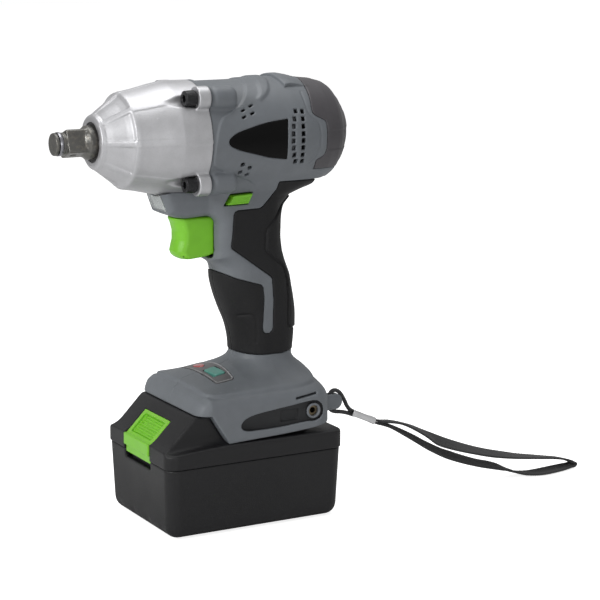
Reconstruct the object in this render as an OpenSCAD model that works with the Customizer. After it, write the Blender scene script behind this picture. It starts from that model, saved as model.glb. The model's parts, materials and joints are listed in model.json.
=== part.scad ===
// Cordless impact wrench with a square drive, slide-on battery and wrist strap.
// +X points out of the square drive, +Y to the tool's left side, +Z up.
// Origin: centre of the battery's underside, on the bench.

/* [Drive] */
// Across-flats size of the square drive
drive_af = 12.7; // [12.5:0.1:12.9]
// Angle the square stands turned at rest
drive_turn = 20; // [0:1:45]
// Radius of the anvil's round shaft
anvil_r = 9; // [8.8:0.05:9]

/* [Head] */
// Height of the spindle axis above the bench
axis_h = 211; // [210:0.5:212]
// Outside radius of the hammer case
case_r = 30; // [29.6:0.1:30.2]
// Outside radius of the motor housing
head_r = 29.6; // [29.4:0.1:30]
// Wall of the motor housing
head_wall = 2.5; // [2.3:0.1:2.6]
// Circle radius of the four case screws
screw_pcr = 32; // [31.8:0.1:32.4]

/* [Grip] */
// Width of the grip across the hand
grip_w = 35; // [34:0.5:37]
// Wall of the moulded housing
wall = 2.6; // [2.2:0.1:2.8]
// Thickness of the rubber overmould
rubber_t = 1.8; // [1.4:0.1:2]
// Width of the trigger
trigger_w = 17; // [15:0.5:18]

/* [Battery] */
// Length of the battery
bat_l = 108; // [106:1:110]
// Width of the battery
bat_w = 80; // [79:1:82]
// Height of the lower battery case
bat_h = 39; // [38.5:0.1:39.5]
// Radius of one cell
cell_r = 9.1; // [8.9:0.05:9.2]

/* [Gear train] */
// Gear module
gear_m = 0.9; // [0.9:0.01:0.9]
// Flank clearance of one tooth
backlash = 0.06; // [0.04:0.01:0.1]

/* [Quality] */
// Circle resolution
res = 64; // [48:8:96]

/* [Hidden] */
$fn = res;

sides = [-1, 1]; // right, left
head_bore = head_r - head_wall;
case_bore = 25.2;
half_l = bat_l/2;
half_w = bat_w/2;
lime = [0.45, 0.72, 0.12];
black_plastic = [0.13, 0.13, 0.14];

// ---- helpers ----
// Side views are outlines of [x, z]; turned profiles are outlines of [radius, x].
module on_axis() translate([0, 0, axis_h]) children();
// a 2D shape (across = Y, up = Z) pushed along X about the spindle axis
module along_x(x0, x1)
  translate([x0, 0, axis_h]) rotate([90, 0, 90]) linear_extrude(x1 - x0) children();
module rod_x(r, x0, x1)
  on_axis() translate([x0, 0, 0]) rotate([0, 90, 0]) cylinder(r = r, h = x1 - x0);
module tube_x(outer, inner, x0, x1) along_x(x0, x1) difference() {
  circle(r = outer);
  circle(r = inner);
}
// a profile turned about the spindle axis
module turn_x(profile) on_axis() rotate([0, 90, 0]) rotate_extrude() polygon(profile);
// a side view pushed across Y
module side(y0, y1) translate([0, y1, 0]) rotate([90, 0, 0]) linear_extrude(y1 - y0) children();
module box(x0, x1, y0, y1, z0, z1) translate([x0, y0, z0]) cube([x1 - x0, y1 - y0, z1 - z0]);
// the same two on side s only, near and far measured from the middle plane
module side_on(s, near, far) side(min(s*near, s*far), max(s*near, s*far)) children();
module box_on(s, x0, x1, near, far, z0, z1)
  box(x0, x1, min(s*near, s*far), max(s*near, s*far), z0, z1);
module half(s) box_on(s, -150, 150, 0.02, 150, -10, 300);
module rounded_rect(length, width, corner) hull() for (i = sides, j = sides)
  translate([i*(length/2 - corner), j*(width/2 - corner)]) circle(r = corner);

// coil spring with its axis along X, swept as a closed skin
module coil_x(x0, x1, mean_r, wire_r, turns, centre_z = 0) {
  steps = 26*turns;
  sides_n = 10;
  pitch = (x1 - x0 - 2*wire_r)/turns;
  // points of the wire's section at step i
  function section(i) = let (a = 360*turns*i/steps, x = x0 + wire_r + pitch*turns*i/steps)
    [for (j = [0:sides_n - 1]) let (b = 360*j/sides_n, q = mean_r + wire_r*cos(b))
      [x + wire_r*sin(b), q*cos(a), centre_z + q*sin(a)]];
  points = [for (i = [0:steps]) each section(i)];
  faces = concat(
    [[for (j = [0:sides_n - 1]) j]],
    [[for (j = [sides_n - 1:-1:0]) steps*sides_n + j]],
    [for (i = [0:steps - 1], j = [0:sides_n - 1])
      let (a = i*sides_n + j, b = i*sides_n + (j + 1)%sides_n)
      [a, a + sides_n, b + sides_n, b]]);
  polyhedron(points = points, faces = faces, convexity = 6);
}

// ---- involute gears ----
sun_teeth = 12;
planet_teeth = 15;
ring_teeth = 42;
pressure_angle = 25;
planet_orbit_r = gear_m*(sun_teeth + planet_teeth)/2;
first_planet = 90;
function planet_at(k) = first_planet + 120*k;
// turns that bring the teeth into mesh
function planet_turn(at) = at + 180 - (0.5 - at*sun_teeth/360)*360/planet_teeth;
ring_turn = first_planet
  - (0.5 + (first_planet - planet_turn(first_planet))*planet_teeth/360)*360/ring_teeth;

function involute(angle) = tan(angle)*180/PI - angle;
function polar(r, angle) = [r*cos(angle), r*sin(angle)];
// [radius, half-angle of the tooth] from root to tip
function flank(teeth, tip_r, root_r, clearance) =
  let (pitch_r = gear_m*teeth/2, base_r = pitch_r*cos(pressure_angle),
    half_tooth = 90/teeth - clearance/pitch_r*90/PI,
    start_r = max(base_r, root_r) + 0.0001, steps = 4)
  [for (i = [0:steps]) let (r = start_r + (tip_r - start_r)*i/steps)
    [r, half_tooth + involute(pressure_angle) - involute(acos(base_r/r))]];
module gear2d(teeth, addendum, dedendum, clearance, turn = 0) {
  pitch_r = gear_m*teeth/2;
  root_r = pitch_r - dedendum;
  edge = flank(teeth, pitch_r + addendum, root_r, clearance);
  last = len(edge) - 1;
  polygon([for (t = [0:teeth - 1]) let (mid = 360*t/teeth + turn) each concat(
    [polar(root_r, mid - edge[0][1])],
    [for (i = [0:last]) polar(edge[i][0], mid - edge[i][1])],
    [for (i = [last:-1:0]) polar(edge[i][0], mid + edge[i][1])],
    [polar(root_r, mid + edge[0][1])])]);
}

// ---- hammer case and drive ----
ball_x = 31.2;
ball_orbit_r = 8.6;
ball_travel = 8.2;
lug_face_y = 6.5; // where hammer lugs meet anvil lugs
case_profile = [[case_bore, 8.2], [head_bore - 0.1, 8.2], [head_bore - 0.1, 22],
  [head_r - 0.3, 22], [case_r, 23], [case_r, 41], [28.8, 45.5], [26.6, 55], [25.8, 61],
  [24.2, 64.5], [16.5, 75.5], [14.2, 77.6], [12.6, 78.2], [10.65, 78.2], [10.65, 74],
  [11.5, 74], [11.5, 60], [15, 60], [22, 55.5], [case_bore, 52]];
nose_pocket_profile = [[30, 62.5], [24.2, 63], [23.2, 64.4], [21, 66.6], [17.6, 72.5],
  [15.6, 75.6], [17.5, 76.8], [30, 76.8]];

// four places round the case, children's Z along +X
module at_case_screws() for (a = [45:90:315])
  on_axis() rotate([a, 0, 0]) translate([0, screw_pcr, 0]) rotate([0, 90, 0]) children();
module case_bosses(r, x0, x1)
  at_case_screws() translate([0, 0, x0]) cylinder(r = r, h = x1 - x0);
module turned_with_drive()
  on_axis() rotate([drive_turn, 0, 0]) translate([0, 0, -axis_h]) children();
module at_balls() for (s = sides) translate([ball_x, 0, axis_h + s*ball_orbit_r]) children();

module hammer_case() color([0.72, 0.73, 0.75]) difference() {
  union() {
    turn_x(case_profile);
    case_bosses(5.4, 22.05, 29.05);
    // webs from the barrel out to the bosses
    for (a = [45:90:315]) on_axis() rotate([a, 0, 0]) box(22.05, 29.05, 26, screw_pcr, -4, 4);
    // raised ring where the cone meets the barrel
    tube_x(case_r + 0.35, 27, 38, 41.5);
  }
  case_bosses(2.1, 20, 40);
  case_bosses(4.9, 29.06, 47.06);
  // shallow pockets between the nose ribs
  for (a = [0:45:315]) on_axis() rotate([a + 6.5, 0, 0]) rotate([0, 90, 0])
    rotate_extrude(angle = 35) polygon(nose_pocket_profile);
}
module nose_bush() color([0.72, 0.53, 0.3]) tube_x(11.48, anvil_r + 0.04, 60.2, 73.8);
module oil_seal() color([0.12, 0.12, 0.12]) tube_x(10.6, anvil_r + 0.06, 74.2, 77.8);
module anvil() color([0.42, 0.41, 0.39]) turned_with_drive() difference() {
  union() {
    rod_x(anvil_r, 55, 83.5);
    rod_x(11, 44.3, 59.6);
    // pair of lugs struck by the hammer
    intersection() {
      rod_x(23.5, 44.3, 50.3);
      box(44, 51, -lug_face_y, lug_face_y, axis_h - 30, axis_h + 30);
    }
    // square drive with rounded corners
    intersection() {
      box(83, 94, -drive_af/2, drive_af/2, axis_h - drive_af/2, axis_h + drive_af/2);
      rod_x(8.1, 83, 94);
    }
    // tip, grooved for the friction ring
    turn_x([[0, 93.9], [6, 93.9], [6, 95.6], [3.4, 95.6], [3.4, 98], [6, 98], [6, 99.2],
      [5.2, 100], [0, 100]]);
  }
  rod_x(4.05, 44, 53.4);
  // pin hole for locking a socket
  translate([89.3, 0, axis_h - 10]) cylinder(r = 1.6, h = 20);
}
module friction_ring() color([0.35, 0.35, 0.35]) turned_with_drive()
  translate([95.9, 0, axis_h]) rotate([0, 90, 0]) rotate_extrude(angle = 335)
    polygon([[3.5, 0], [6.2, 0], [6.45, 0.9], [6.2, 1.8], [3.5, 1.8]]);
module hammer() color([0.45, 0.45, 0.46]) turned_with_drive() difference() {
  union() {
    turn_x([[8.1, 28.1], [12.5, 28.1], [12.5, 39], [19.5, 39], [19.5, 28.1], [24, 28.1],
      [24, 43], [23, 44], [8.1, 44]]);
    for (s = sides) intersection() {
      tube_x(23.9, 12.5, 43.5, 49.8);
      box_on(s, 43, 50, lug_face_y, 30, axis_h - 8, axis_h + 8);
    }
  }
  // straight ball tracks, a ball radius deep, as long as the hammer's back-travel
  at_balls() {
    rotate([0, 90, 0]) cylinder(r = 2.9, h = ball_travel);
    sphere(r = 2.9);
    translate([ball_travel, 0, 0]) sphere(r = 2.9);
  }
}
module cam_balls() color([0.8, 0.8, 0.82]) turned_with_drive() at_balls() sphere(r = 2.8);
module hammer_spring() color([0.5, 0.5, 0.52]) coil_x(20.2, 38, 16, 1.3, 4, axis_h);
module spring_washer() color([0.65, 0.65, 0.66]) tube_x(19.2, 12.8, 38.02, 38.98);

// ---- planetary stage ----
pin_r = 2.5;
module spindle() color([0.6, 0.6, 0.62]) difference() {
  union() {
    // rear and front carrier plates, tied by three pillars
    turn_x([[7, 3], [9.5, 3], [9.5, 8.3], [17.5, 8.3], [17.5, 10], [7, 10]]);
    turn_x([[0, 17], [17.5, 17], [17.5, 20], [8, 20], [8, 43.6], [4, 44.2], [4, 51.6],
      [3.4, 52.2], [0, 52.2]]);
    for (k = [0:2]) along_x(9, 18) rotate(planet_at(k) + 60) translate([14.2, 0]) circle(r = 3);
  }
  pins(8, 20.5);
  rod_x(4.2, 16.9, 19);
  turned_with_drive() at_balls() sphere(r = 2.85);
}
module pins(x0, x1) for (k = [0:2])
  along_x(x0, x1) rotate(planet_at(k)) translate([planet_orbit_r, 0]) circle(r = pin_r);
module planet(k) color([0.7, 0.66, 0.6]) along_x(10.2, 16.8)
  rotate(planet_at(k)) translate([planet_orbit_r, 0]) rotate(-planet_at(k)) difference() {
    gear2d(planet_teeth, gear_m, 1.2*gear_m, backlash, planet_turn(planet_at(k)));
    circle(r = pin_r + 0.05);
  }
module planet_gear_1() planet(0);
module planet_gear_2() planet(1);
module planet_gear_3() planet(2);
module planet_pins() color([0.75, 0.75, 0.77]) pins(8.3, 20);
module ring_gear() color([0.5, 0.48, 0.46]) along_x(9.4, 17.2) difference() {
  circle(r = case_bore - 0.05);
  gear2d(ring_teeth, 1.2*gear_m, gear_m, -backlash, ring_turn + 180/ring_teeth);
}
module gear_plate() color([0.2, 0.2, 0.21])
  turn_x([[6.52, -4.5], [9.2, -4.5], [9.2, -1], [20, -1], [20, 0.5], [head_bore - 0.1, 0.5],
    [head_bore - 0.1, 8.1], [case_bore - 0.1, 8.1], [case_bore - 0.1, 9.3], [20.5, 9.3],
    [20.5, 8], [14.53, 8], [14.53, 3], [8, 3], [8, 0], [6.52, 0]]);
module spindle_bearing() color([0.78, 0.78, 0.8])
  turn_x([[9.53, 3.1], [14.5, 3.1], [14.5, 7.9], [9.53, 7.9]]);
module case_gasket() color([0.1, 0.1, 0.1]) tube_x(head_r - 0.4, head_bore + 0.02, 21.55, 21.95);
module case_screws() color([0.08, 0.08, 0.08]) at_case_screws() difference() {
  union() {
    translate([0, 0, 29.1]) cylinder(r = 4.2, h = 6.2);
    translate([0, 0, 10]) cylinder(r = 2, h = 19.5);
  }
  translate([0, 0, 32]) cylinder(r = 2.1, h = 5, $fn = 6);
}

// ---- motor ----
shaft_r = 2.5;
slots = 10;
slot_r = 11; // circle the slots stand on
slot_step = 360/slots;
cap_screws = [[14, 14], [-14, -14]]; // [y, height above the spindle axis]
module at_cap_screws(x)
  for (p = cap_screws) translate([x, p[0], axis_h + p[1]]) rotate([0, 90, 0]) children();

module stator_ring() color([0.35, 0.36, 0.38]) tube_x(24, 21.6, -46, -14);
// one magnet below the rotor, one above
module magnets() color([0.22, 0.22, 0.24]) for (a = [0, 180])
  on_axis() translate([-44, 0, 0]) rotate([a, 0, 0]) rotate([0, 90, 0]) rotate([0, 0, -60])
    rotate_extrude(angle = 120) polygon([[15.7, 0], [21.55, 0], [21.55, 28], [15.7, 28]]);
module rotor_shaft() color([0.75, 0.75, 0.78]) rod_x(shaft_r, -62.8, 16.4);
module rotor_core() color([0.3, 0.31, 0.33]) along_x(-42, -18) difference() {
  circle(r = 15);
  circle(r = shaft_r);
  for (i = [0:slots - 1]) rotate(slot_step*i) {
    translate([slot_r, 0]) circle(r = 2.2);
    translate([slot_r, -0.8]) square([6, 1.6]);
  }
}
module rotor_windings() color([0.72, 0.38, 0.16]) {
  for (i = [0:slots - 1])
    along_x(-42.5, -17.5) rotate(slot_step*i) translate([slot_r, 0]) circle(r = 2.1);
  // end turns
  turn_x([[6, -46.4], [13.4, -46.4], [14, -45], [14, -42.1], [5, -42.1], [5, -45]]);
  turn_x([[5, -17.9], [14, -17.9], [14, -15], [13.4, -13.8], [6, -13.8], [5, -15]]);
}
module commutator() color([0.78, 0.45, 0.22]) along_x(-53, -47) difference() {
  circle(r = 7.5);
  circle(r = shaft_r);
  for (i = [0:slots - 1]) rotate(slot_step*(i + 0.5)) translate([6, -0.25]) square([3, 0.5]);
}
module cooling_fan() color([0.12, 0.12, 0.13]) difference() {
  union() {
    rod_x(21.3, -12.6, -11.4);
    rod_x(5.5, -12.6, -6);
    for (i = [0:11]) along_x(-12, -6) rotate(30*i) translate([4, -0.6]) square([17, 1.2]);
  }
  rod_x(shaft_r, -14, -4);
}
module pinion() color([0.62, 0.62, 0.64]) along_x(3.2, 16.4) difference() {
  gear2d(sun_teeth, gear_m, 1.2*gear_m, backlash);
  circle(r = shaft_r);
}
module rotor_bearings() color([0.8, 0.8, 0.82]) for (x = [-4.45, -62.95])
  turn_x([[shaft_r + 0.03, x], [6.5, x], [6.5, x + 4.4], [shaft_r + 0.03, x + 4.4]]);
module brush_holder() color([0.45, 0.3, 0.18]) difference() {
  union() {
    tube_x(23.8, 9, -57, -54.8);
    for (s = sides) box_on(s, -55, -46.8, 9.4, 20.4, axis_h - 4.4, axis_h + 4.4);
  }
  box(-53.2, -48.2, -30, 30, axis_h - 3, axis_h + 3);
  at_cap_screws(-60) cylinder(r = 1.6, h = 8);
}
module carbon_brushes() color([0.16, 0.16, 0.17]) difference() {
  for (s = sides) box_on(s, -53.1, -48.3, 5, 17, axis_h - 2.9, axis_h + 2.9);
  rod_x(7.56, -60, -40);
}

// ---- housing forms ----
// places of the housing screws, [x, z]
housing_screw_at = [[-30, 167], [-12, 139], [-36, 98], [-10, 98]];
grip_outline = [[12, 186], [12, 168], [10.4, 166], [10, 148], [12.6, 144.6], [9.4, 141.5],
  [8.8, 137.5], [8.3, 131], [6.3, 123.2], [3.3, 115], [-0.4, 107], [-2, 100.7], [-2.8, 95.3],
  [-3, 86], [-42.6, 86], [-43.5, 95.7], [-44.1, 105], [-44, 113], [-43, 120], [-41.4, 127.3],
  [-39.6, 134.6], [-37.4, 141.8], [-35.8, 149], [-34.9, 156], [-35.3, 166], [-38, 172.5],
  [-41.5, 177], [-45, 180], [-48, 186]];
base_outline = [[35, 65.5], [35, 69.5], [32.5, 73.6], [28.8, 77.6], [16.5, 81.2], [4, 83.9],
  [-2.6, 85.2], [-3, 89], [-43, 89], [-44.5, 82], [-49, 79], [-52, 74], [-52, 50], [17, 50],
  [26.7, 65.5]];
badge_outline = [[12.4, 211], [10.6, 213.2], [6.7, 215.4], [-0.5, 217.6], [-8.9, 219.2],
  [-17.9, 220.5], [-23.6, 220.8], [-23.6, 200.4], [-11.9, 201.8], [-2.9, 204], [6.1, 206.4],
  [10.6, 208.6]];
// area the rubber covers, and the bare strip down behind the fingers
rubber_outline = [[14, 141], [5, 138], [4, 152], [3, 169], [0, 171.6], [-13.7, 171.9],
  [-18.6, 177], [-23, 182], [-27, 186], [-60, 186], [-60, 92], [10, 92], [14, 120]];
bare_outline = [[16, 145], [16, 141.4], [0, 134.2], [-14.9, 129.6], [-16.3, 121.5],
  [-15.6, 105.4], [-17.6, 102.4], [-20.6, 102.6], [-22, 106], [-22.3, 121], [-21.1, 133.5],
  [4, 151.6], [3, 169], [10, 176]];

// outer form of the grip, drawn in by inset
module grip_form(inset) {
  intersection() {
    side(-grip_w/2 + inset, grip_w/2 - inset) offset(delta = -inset) polygon(grip_outline);
    translate([-33.6, 0, 40]) rotate([0, 11, 0]) linear_extrude(140)
      rounded_rect(48.6 - 2*inset, grip_w - 2*inset, 15 - inset);
    box(-60, 30, -30, 30, 60, 172);
  }
  intersection() {
    side(-grip_w/2 + 0.3 + inset, grip_w/2 - 0.3 - inset)
      offset(delta = -inset) polygon(grip_outline);
    box(-60, 30, -30, 30, 164, 189);
  }
}
// outer form of the base over the battery, stepping narrower upward
module base_form(inset) intersection() {
  side(-half_w + 1.6 + inset, half_w - 1.6 - inset) offset(delta = -inset) polygon(base_outline);
  translate([-8.5, 0, 40]) linear_extrude(60)
    rounded_rect(87 - 2*inset, bat_w - 3.2 - 2*inset, 9 - inset);
  union() {
    box(-60, 60, -50, 50, 40, 76);
    side(-33 + inset, 33 - inset) polygon([[60, 70], [60, 79], [-60, 79], [-60, 70]]);
    side(-27 + inset, 27 - inset) polygon([[60, 70], [60, 100], [-60, 100], [-60, 70]]);
  }
}
module grip_region(inset) side(-30, 30) offset(delta = -inset) difference() {
  polygon(rubber_outline);
  polygon(bare_outline);
}
module head_ridges(gap = 0)
  for (x = [-18.5, -26]) rod_x(head_r + 0.5 + gap, x - gap, x + 2.4 + gap);
module badge_form(s, gap) intersection() {
  side_on(s, 18, 40) offset(delta = gap) polygon(badge_outline);
  tube_x(head_r + 0.5, head_r - 0.5 - gap, -40, 20);
}
module trigger_way() box(-4, 40, -trigger_w/2 - 0.3, trigger_w/2 + 0.3, 145.4, 168.2);
module selector_way() side(-30, 30)
  polygon([[-8.6, 175.6], [-4.4, 181.3], [8.5, 181.3], [6.6, 174.8], [-8, 174.8]]);
// children's Z points to the right, toward the screw heads
module at_housing_screws()
  for (p = housing_screw_at) translate([p[0], 0, p[1]]) rotate([90, 0, 0]) children();
module head_wells(depth) at_housing_screws() translate([0, 0, 13]) cylinder(r = 3.2, h = depth);
module screw_holes(well_depth) {
  at_housing_screws() translate([0, 0, -12]) cylinder(r = 1.6, h = 40);
  head_wells(well_depth);
}
// hook fixings on both flanks of the base, children's Z outward
module at_hooks(inset) for (s = sides)
  translate([-35.6, s*(half_w - inset), 61.4]) rotate([-90*s, 0, 0]) children();
// sloping control panel: X down the slope, Z out of it
module panel_frame() translate([10.25, 0, 82.55]) rotate([0, 12.2, 0]) children();

// ---- housing ----
eye_x = -62;
eye_z = 60;
strap_y = 22;
lug_r = 4;
// [x, height above the spindle axis] of the front vents
front_vents = [[2, 16], [2, 12.4], [4.6, -13.4], [4.6, -17.2]];

module head_solid() {
  turn_x([[0, 21.5], [head_r - 0.3, 21.5], [head_r, 20.5], [head_r, -28], [28, -47.6],
    [0, -47.6]]);
  case_bosses(5.4, 6, 21.2);
  head_ridges();
  // hook behind the top ridges
  side(-4, 4) polygon([[-28, 238], [-30, 240.8], [-32.4, 242.4], [-36, 241.6], [-44, 238.8],
    [-44, 236]]);
}
module lug_bar(y, length)
  translate([eye_x, y, eye_z]) rotate([90, 0, 0]) cylinder(r = lug_r, h = length);
module shell_solid() {
  head_solid();
  grip_form(0);
  base_form(0);
  // nose under the hammer case
  side(-13, 13) polygon([[8, 186], [8, 169.6], [28, 168.5], [34, 169.4], [38.5, 171.4],
    [43, 183], [42, 186]]);
  // strap lug on the rear face
  box(eye_x, -50, strap_y - 6.5, strap_y + 6.5, eye_z - lug_r, eye_z + lug_r);
  lug_bar(strap_y + 6.5, 13);
}
module vents() for (s = sides) {
  for (c = [0, 1], i = [0:7])
    box_on(s, -29 - 5*c, -26.6 - 5*c, 15, 40, axis_h - 14.2 + 3.75*i, axis_h - 11.7 + 3.75*i);
  for (v = front_vents, c = [0, 1]) {
    x = v[0] - 4.6*c;
    z = axis_h + v[1] + 1.4*c*sign(v[1]);
    box_on(s, x, x + 2.6, 15, 40, z, z + 1.3);
  }
}
// rail slot open to the front, rail heads above it
module battery_way() {
  box(-38.6, 80, -26.6, 26.6, 40, 56);
  box(-38.6, 80, -30.2, 30.2, 54.6, 60.4);
  box(-38.6, 80, -18.6, 18.6, 50, 65.45);
}
module shell() difference() {
  shell_solid();
  // motor and gear cavity
  turn_x([[0, 60], [head_bore, 60], [head_bore, -30], [25.4, -60], [0, -60]]);
  rod_x(case_r + 0.15, 21.55, 61.55);
  rod_x(case_r + 0.5, 37.9, 41.6);
  case_bosses(2.05, 4, 30);
  // grip and base cavities
  grip_form(wall + rubber_t);
  intersection() {
    base_form(wall);
    box(-49, 60, -32.8, 32.8, 54.6, 90);
  }
  // wire way from the grip down into the base
  box(-34, -14, -9, 9, 70, 100);
  // overmould seat
  difference() {
    grip_region(0);
    grip_form(rubber_t);
  }
  battery_way();
  trigger_way();
  selector_way();
  // lamp pocket and wire way
  side(-8.6, 8.6) polygon([[39, 171.9], [44, 184], [36.4, 184], [32, 173]]);
  box(2, 34, -4, 4, 173, 178.5);
  // recesses on the flanks of the base, with the hook fixings
  for (s = sides) side_on(s, half_w - 4, half_w + 4)
    polygon([[9.6, 59.8], [1.5, 63.2], [-21, 66], [-35, 67.4], [-41, 64], [-41, 57],
      [-31, 55.8], [-15, 54.4], [6, 55]]);
  at_hooks(9.4) cylinder(r = 3.02, h = 14);
  // control panel seat and opening
  panel_frame() {
    box(-6.3, 6.3, -22.6, 22.6, -1.3, 4.7);
    box(-4.6, 4.6, -19, 19, -8, 1);
  }
  // strap slot through the lug, leaving a round bar
  difference() {
    box(-68, -53.4, strap_y - 3.4, strap_y + 3.4, 50, 80);
    lug_bar(strap_y + 8, 16);
  }
  vents();
  for (s = sides) badge_form(s, 0.03);
  screw_holes(40);
}
// screw posts tying the halves together
module posts() difference() {
  intersection() {
    at_housing_screws() cylinder(r = 4.2, h = 27, center = true);
    grip_form(rubber_t + 0.2);
  }
  screw_holes(5);
}
// cradles for the motor can
module cradles() for (a = [45:90:315])
  on_axis() rotate([a, 0, 0]) box(-45, -15, 24.05, 27.45, -1.6, 1.6);
module housing(s) color([0.42, 0.44, 0.46]) intersection() {
  union() {
    shell();
    posts();
    cradles();
  }
  half(s);
}
module housing_left() housing(1);
module housing_right() housing(-1);
module badge(s) color([0.08, 0.08, 0.08]) intersection() {
  badge_form(s, 0);
  tube_x(head_r + 0.15, 20, -40, 20);
}
module badge_left() badge(1);
module badge_right() badge(-1);

// rubber overmould, clear of the head, base and controls
module grip_skin(s) color(black_plastic) intersection() {
  difference() {
    intersection() {
      grip_form(0);
      grip_region(0.03);
    }
    grip_form(rubber_t - 0.03);
    turn_x([[0, 60], [head_r + 0.03, 60], [head_r + 0.03, -28], [28.05, -60], [0, -60]]);
    head_ridges(0.03);
    base_form(-0.03);
    trigger_way();
    selector_way();
    head_wells(40);
  }
  half(s);
}
module grip_left() grip_skin(1);
module grip_right() grip_skin(-1);
module rear_cap() color([0.3, 0.28, 0.3]) difference() {
  union() {
    at_cap_screws(-66) cylinder(r = 4.2, h = 8.8);
    turn_x([[28.2, -47.8], [28.1, -52], [27, -57], [25.4, -60.5], [21.2, -66.3],
      [15.6, -70.5], [9.8, -73.2], [3, -74.9], [0, -75], [0, -70], [6.2, -68.6],
      [6.2, -63.1], [6.53, -63.1], [6.53, -58.5], [8.8, -58.5], [8.8, -66], [14, -67],
      [19, -63.5], [23.9, -58.2], [23.9, -57.1], [25, -55], [25.3, -47.8]]);
  }
  at_cap_screws(-80) {
    cylinder(r = 1.6, h = 60);
    cylinder(r = 3.2, h = 15.8);
  }
}
// hex-socket screw, head at the bottom
module screw(length) difference() {
  union() {
    cylinder(r = 3, h = 2.2);
    translate([0, 0, 0.5]) cylinder(r = 1.5, h = length);
  }
  translate([0, 0, -1]) cylinder(r = 1.3, h = 2, $fn = 6);
}
module housing_screws() color([0.1, 0.1, 0.1]) {
  for (p = housing_screw_at) translate([p[0], -15.3, p[1]]) rotate([-90, 0, 0]) screw(22);
  at_cap_screws(-66.4) screw(11.4);
}

// ---- controls ----
plunger_z = 157;
terminal_ys = [-12, -4, 4, 12];
module trigger() color(lime) {
  difference() {
    side(-trigger_w/2, trigger_w/2) polygon([[7, 168], [30, 168], [32, 166], [31, 161],
      [30.4, 156], [31, 152], [31.8, 149.5], [30, 147], [27, 145.6], [7, 145.6]]);
    box(6, 25, -trigger_w/2 + 2, trigger_w/2 - 2, 148, 165.6);
  }
  // block and plunger behind the finger face
  box(6.9, 27, -3, 3, 154, 160);
  translate([-3, 0, plunger_z]) rotate([0, 90, 0]) cylinder(r = 2, h = 12);
}
module trigger_switch() color([0.14, 0.14, 0.15]) difference() {
  box(-25, -0.2, -9, 9, 148, 165);
  translate([-12, 0, plunger_z]) rotate([0, 90, 0]) cylinder(r = 2.08, h = 13);
}
module trigger_spring() color([0.7, 0.7, 0.72])
  translate([0, 0, plunger_z]) coil_x(-0.1, 6.8, 3.2, 0.4, 4);
module selector() color(lime) side(-19.4, 19.4)
  polygon([[-7.4, 175.4], [-3.9, 180.6], [7.2, 180.6], [5.8, 175.4]]);
module led_lens() color([0.85, 0.88, 0.9, 0.5]) difference() {
  side(-8.4, 8.4) polygon([[38.9, 172.4], [43, 182.2], [41, 181.8], [37.2, 172.9]]);
  rod_x(case_r + 0.5, 30, 50);
}
module led_board() color([0.9, 0.9, 0.7]) side(-7.5, 7.5)
  polygon([[36.8, 173.4], [39.8, 180.6], [38.8, 180.6], [35.8, 173.4]]);
module control_panel() color([0.16, 0.17, 0.18]) panel_frame() difference() {
  box(-6.2, 6.2, -22.5, 22.5, -1.25, 0.35);
  box(-4, 4, 1, 14, -3, 3);
  box(-2.6, 2.6, -15.2, -4.8, -3, 3);
}
module mode_button() color(lime) panel_frame() box(-3.9, 3.9, 1.1, 13.9, -1.2, 1.2);
module indicator_lens() color([0.75, 0.12, 0.08])
  panel_frame() box(-2.5, 2.5, -15.1, -4.9, -1.2, 0.5);
module control_board() color([0.12, 0.35, 0.2]) box(-34, 14, -20, 20, 72, 73.6);
module terminal_block() color([0.1, 0.1, 0.1]) {
  box(-45.8, -39, -20, 20, 56, 70);
  for (y = terminal_ys) box(-39.5, -18, y - 0.4, y + 0.4, 58.6, 63.2);
}
module hook_inserts() color([0.75, 0.6, 0.3]) at_hooks(9.3) difference() {
  cylinder(r = 3, h = 5.2);
  translate([0, 0, -1]) cylinder(r = 1.65, h = 10);
}

// ---- battery ----
// plan view of the battery, drawn in by inset
module plan(inset, height) linear_extrude(height)
  rounded_rect(bat_l - 2*inset, bat_w - 2*inset, 6.5 - inset);
// section whose lower edges draw in toward the foot
module foot(w) polygon([[3.6 - w, 0], [w - 3.6, 0], [w - 1.6, 4], [w - 0.5, 12],
  [w - 0.5, 50], [0.5 - w, 50], [0.5 - w, 12], [1.6 - w, 4]]);
// frame on the front ramp: X down the slope, Z out of it
module ramp_frame() translate([47, 0, 54]) rotate([0, 45, 0]) children();
module cell_row(r, length) for (i = [-2:2])
  translate([i*19.4, 0, 12.4]) rotate([90, 0, 0]) cylinder(r = r, h = length, center = true);

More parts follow.
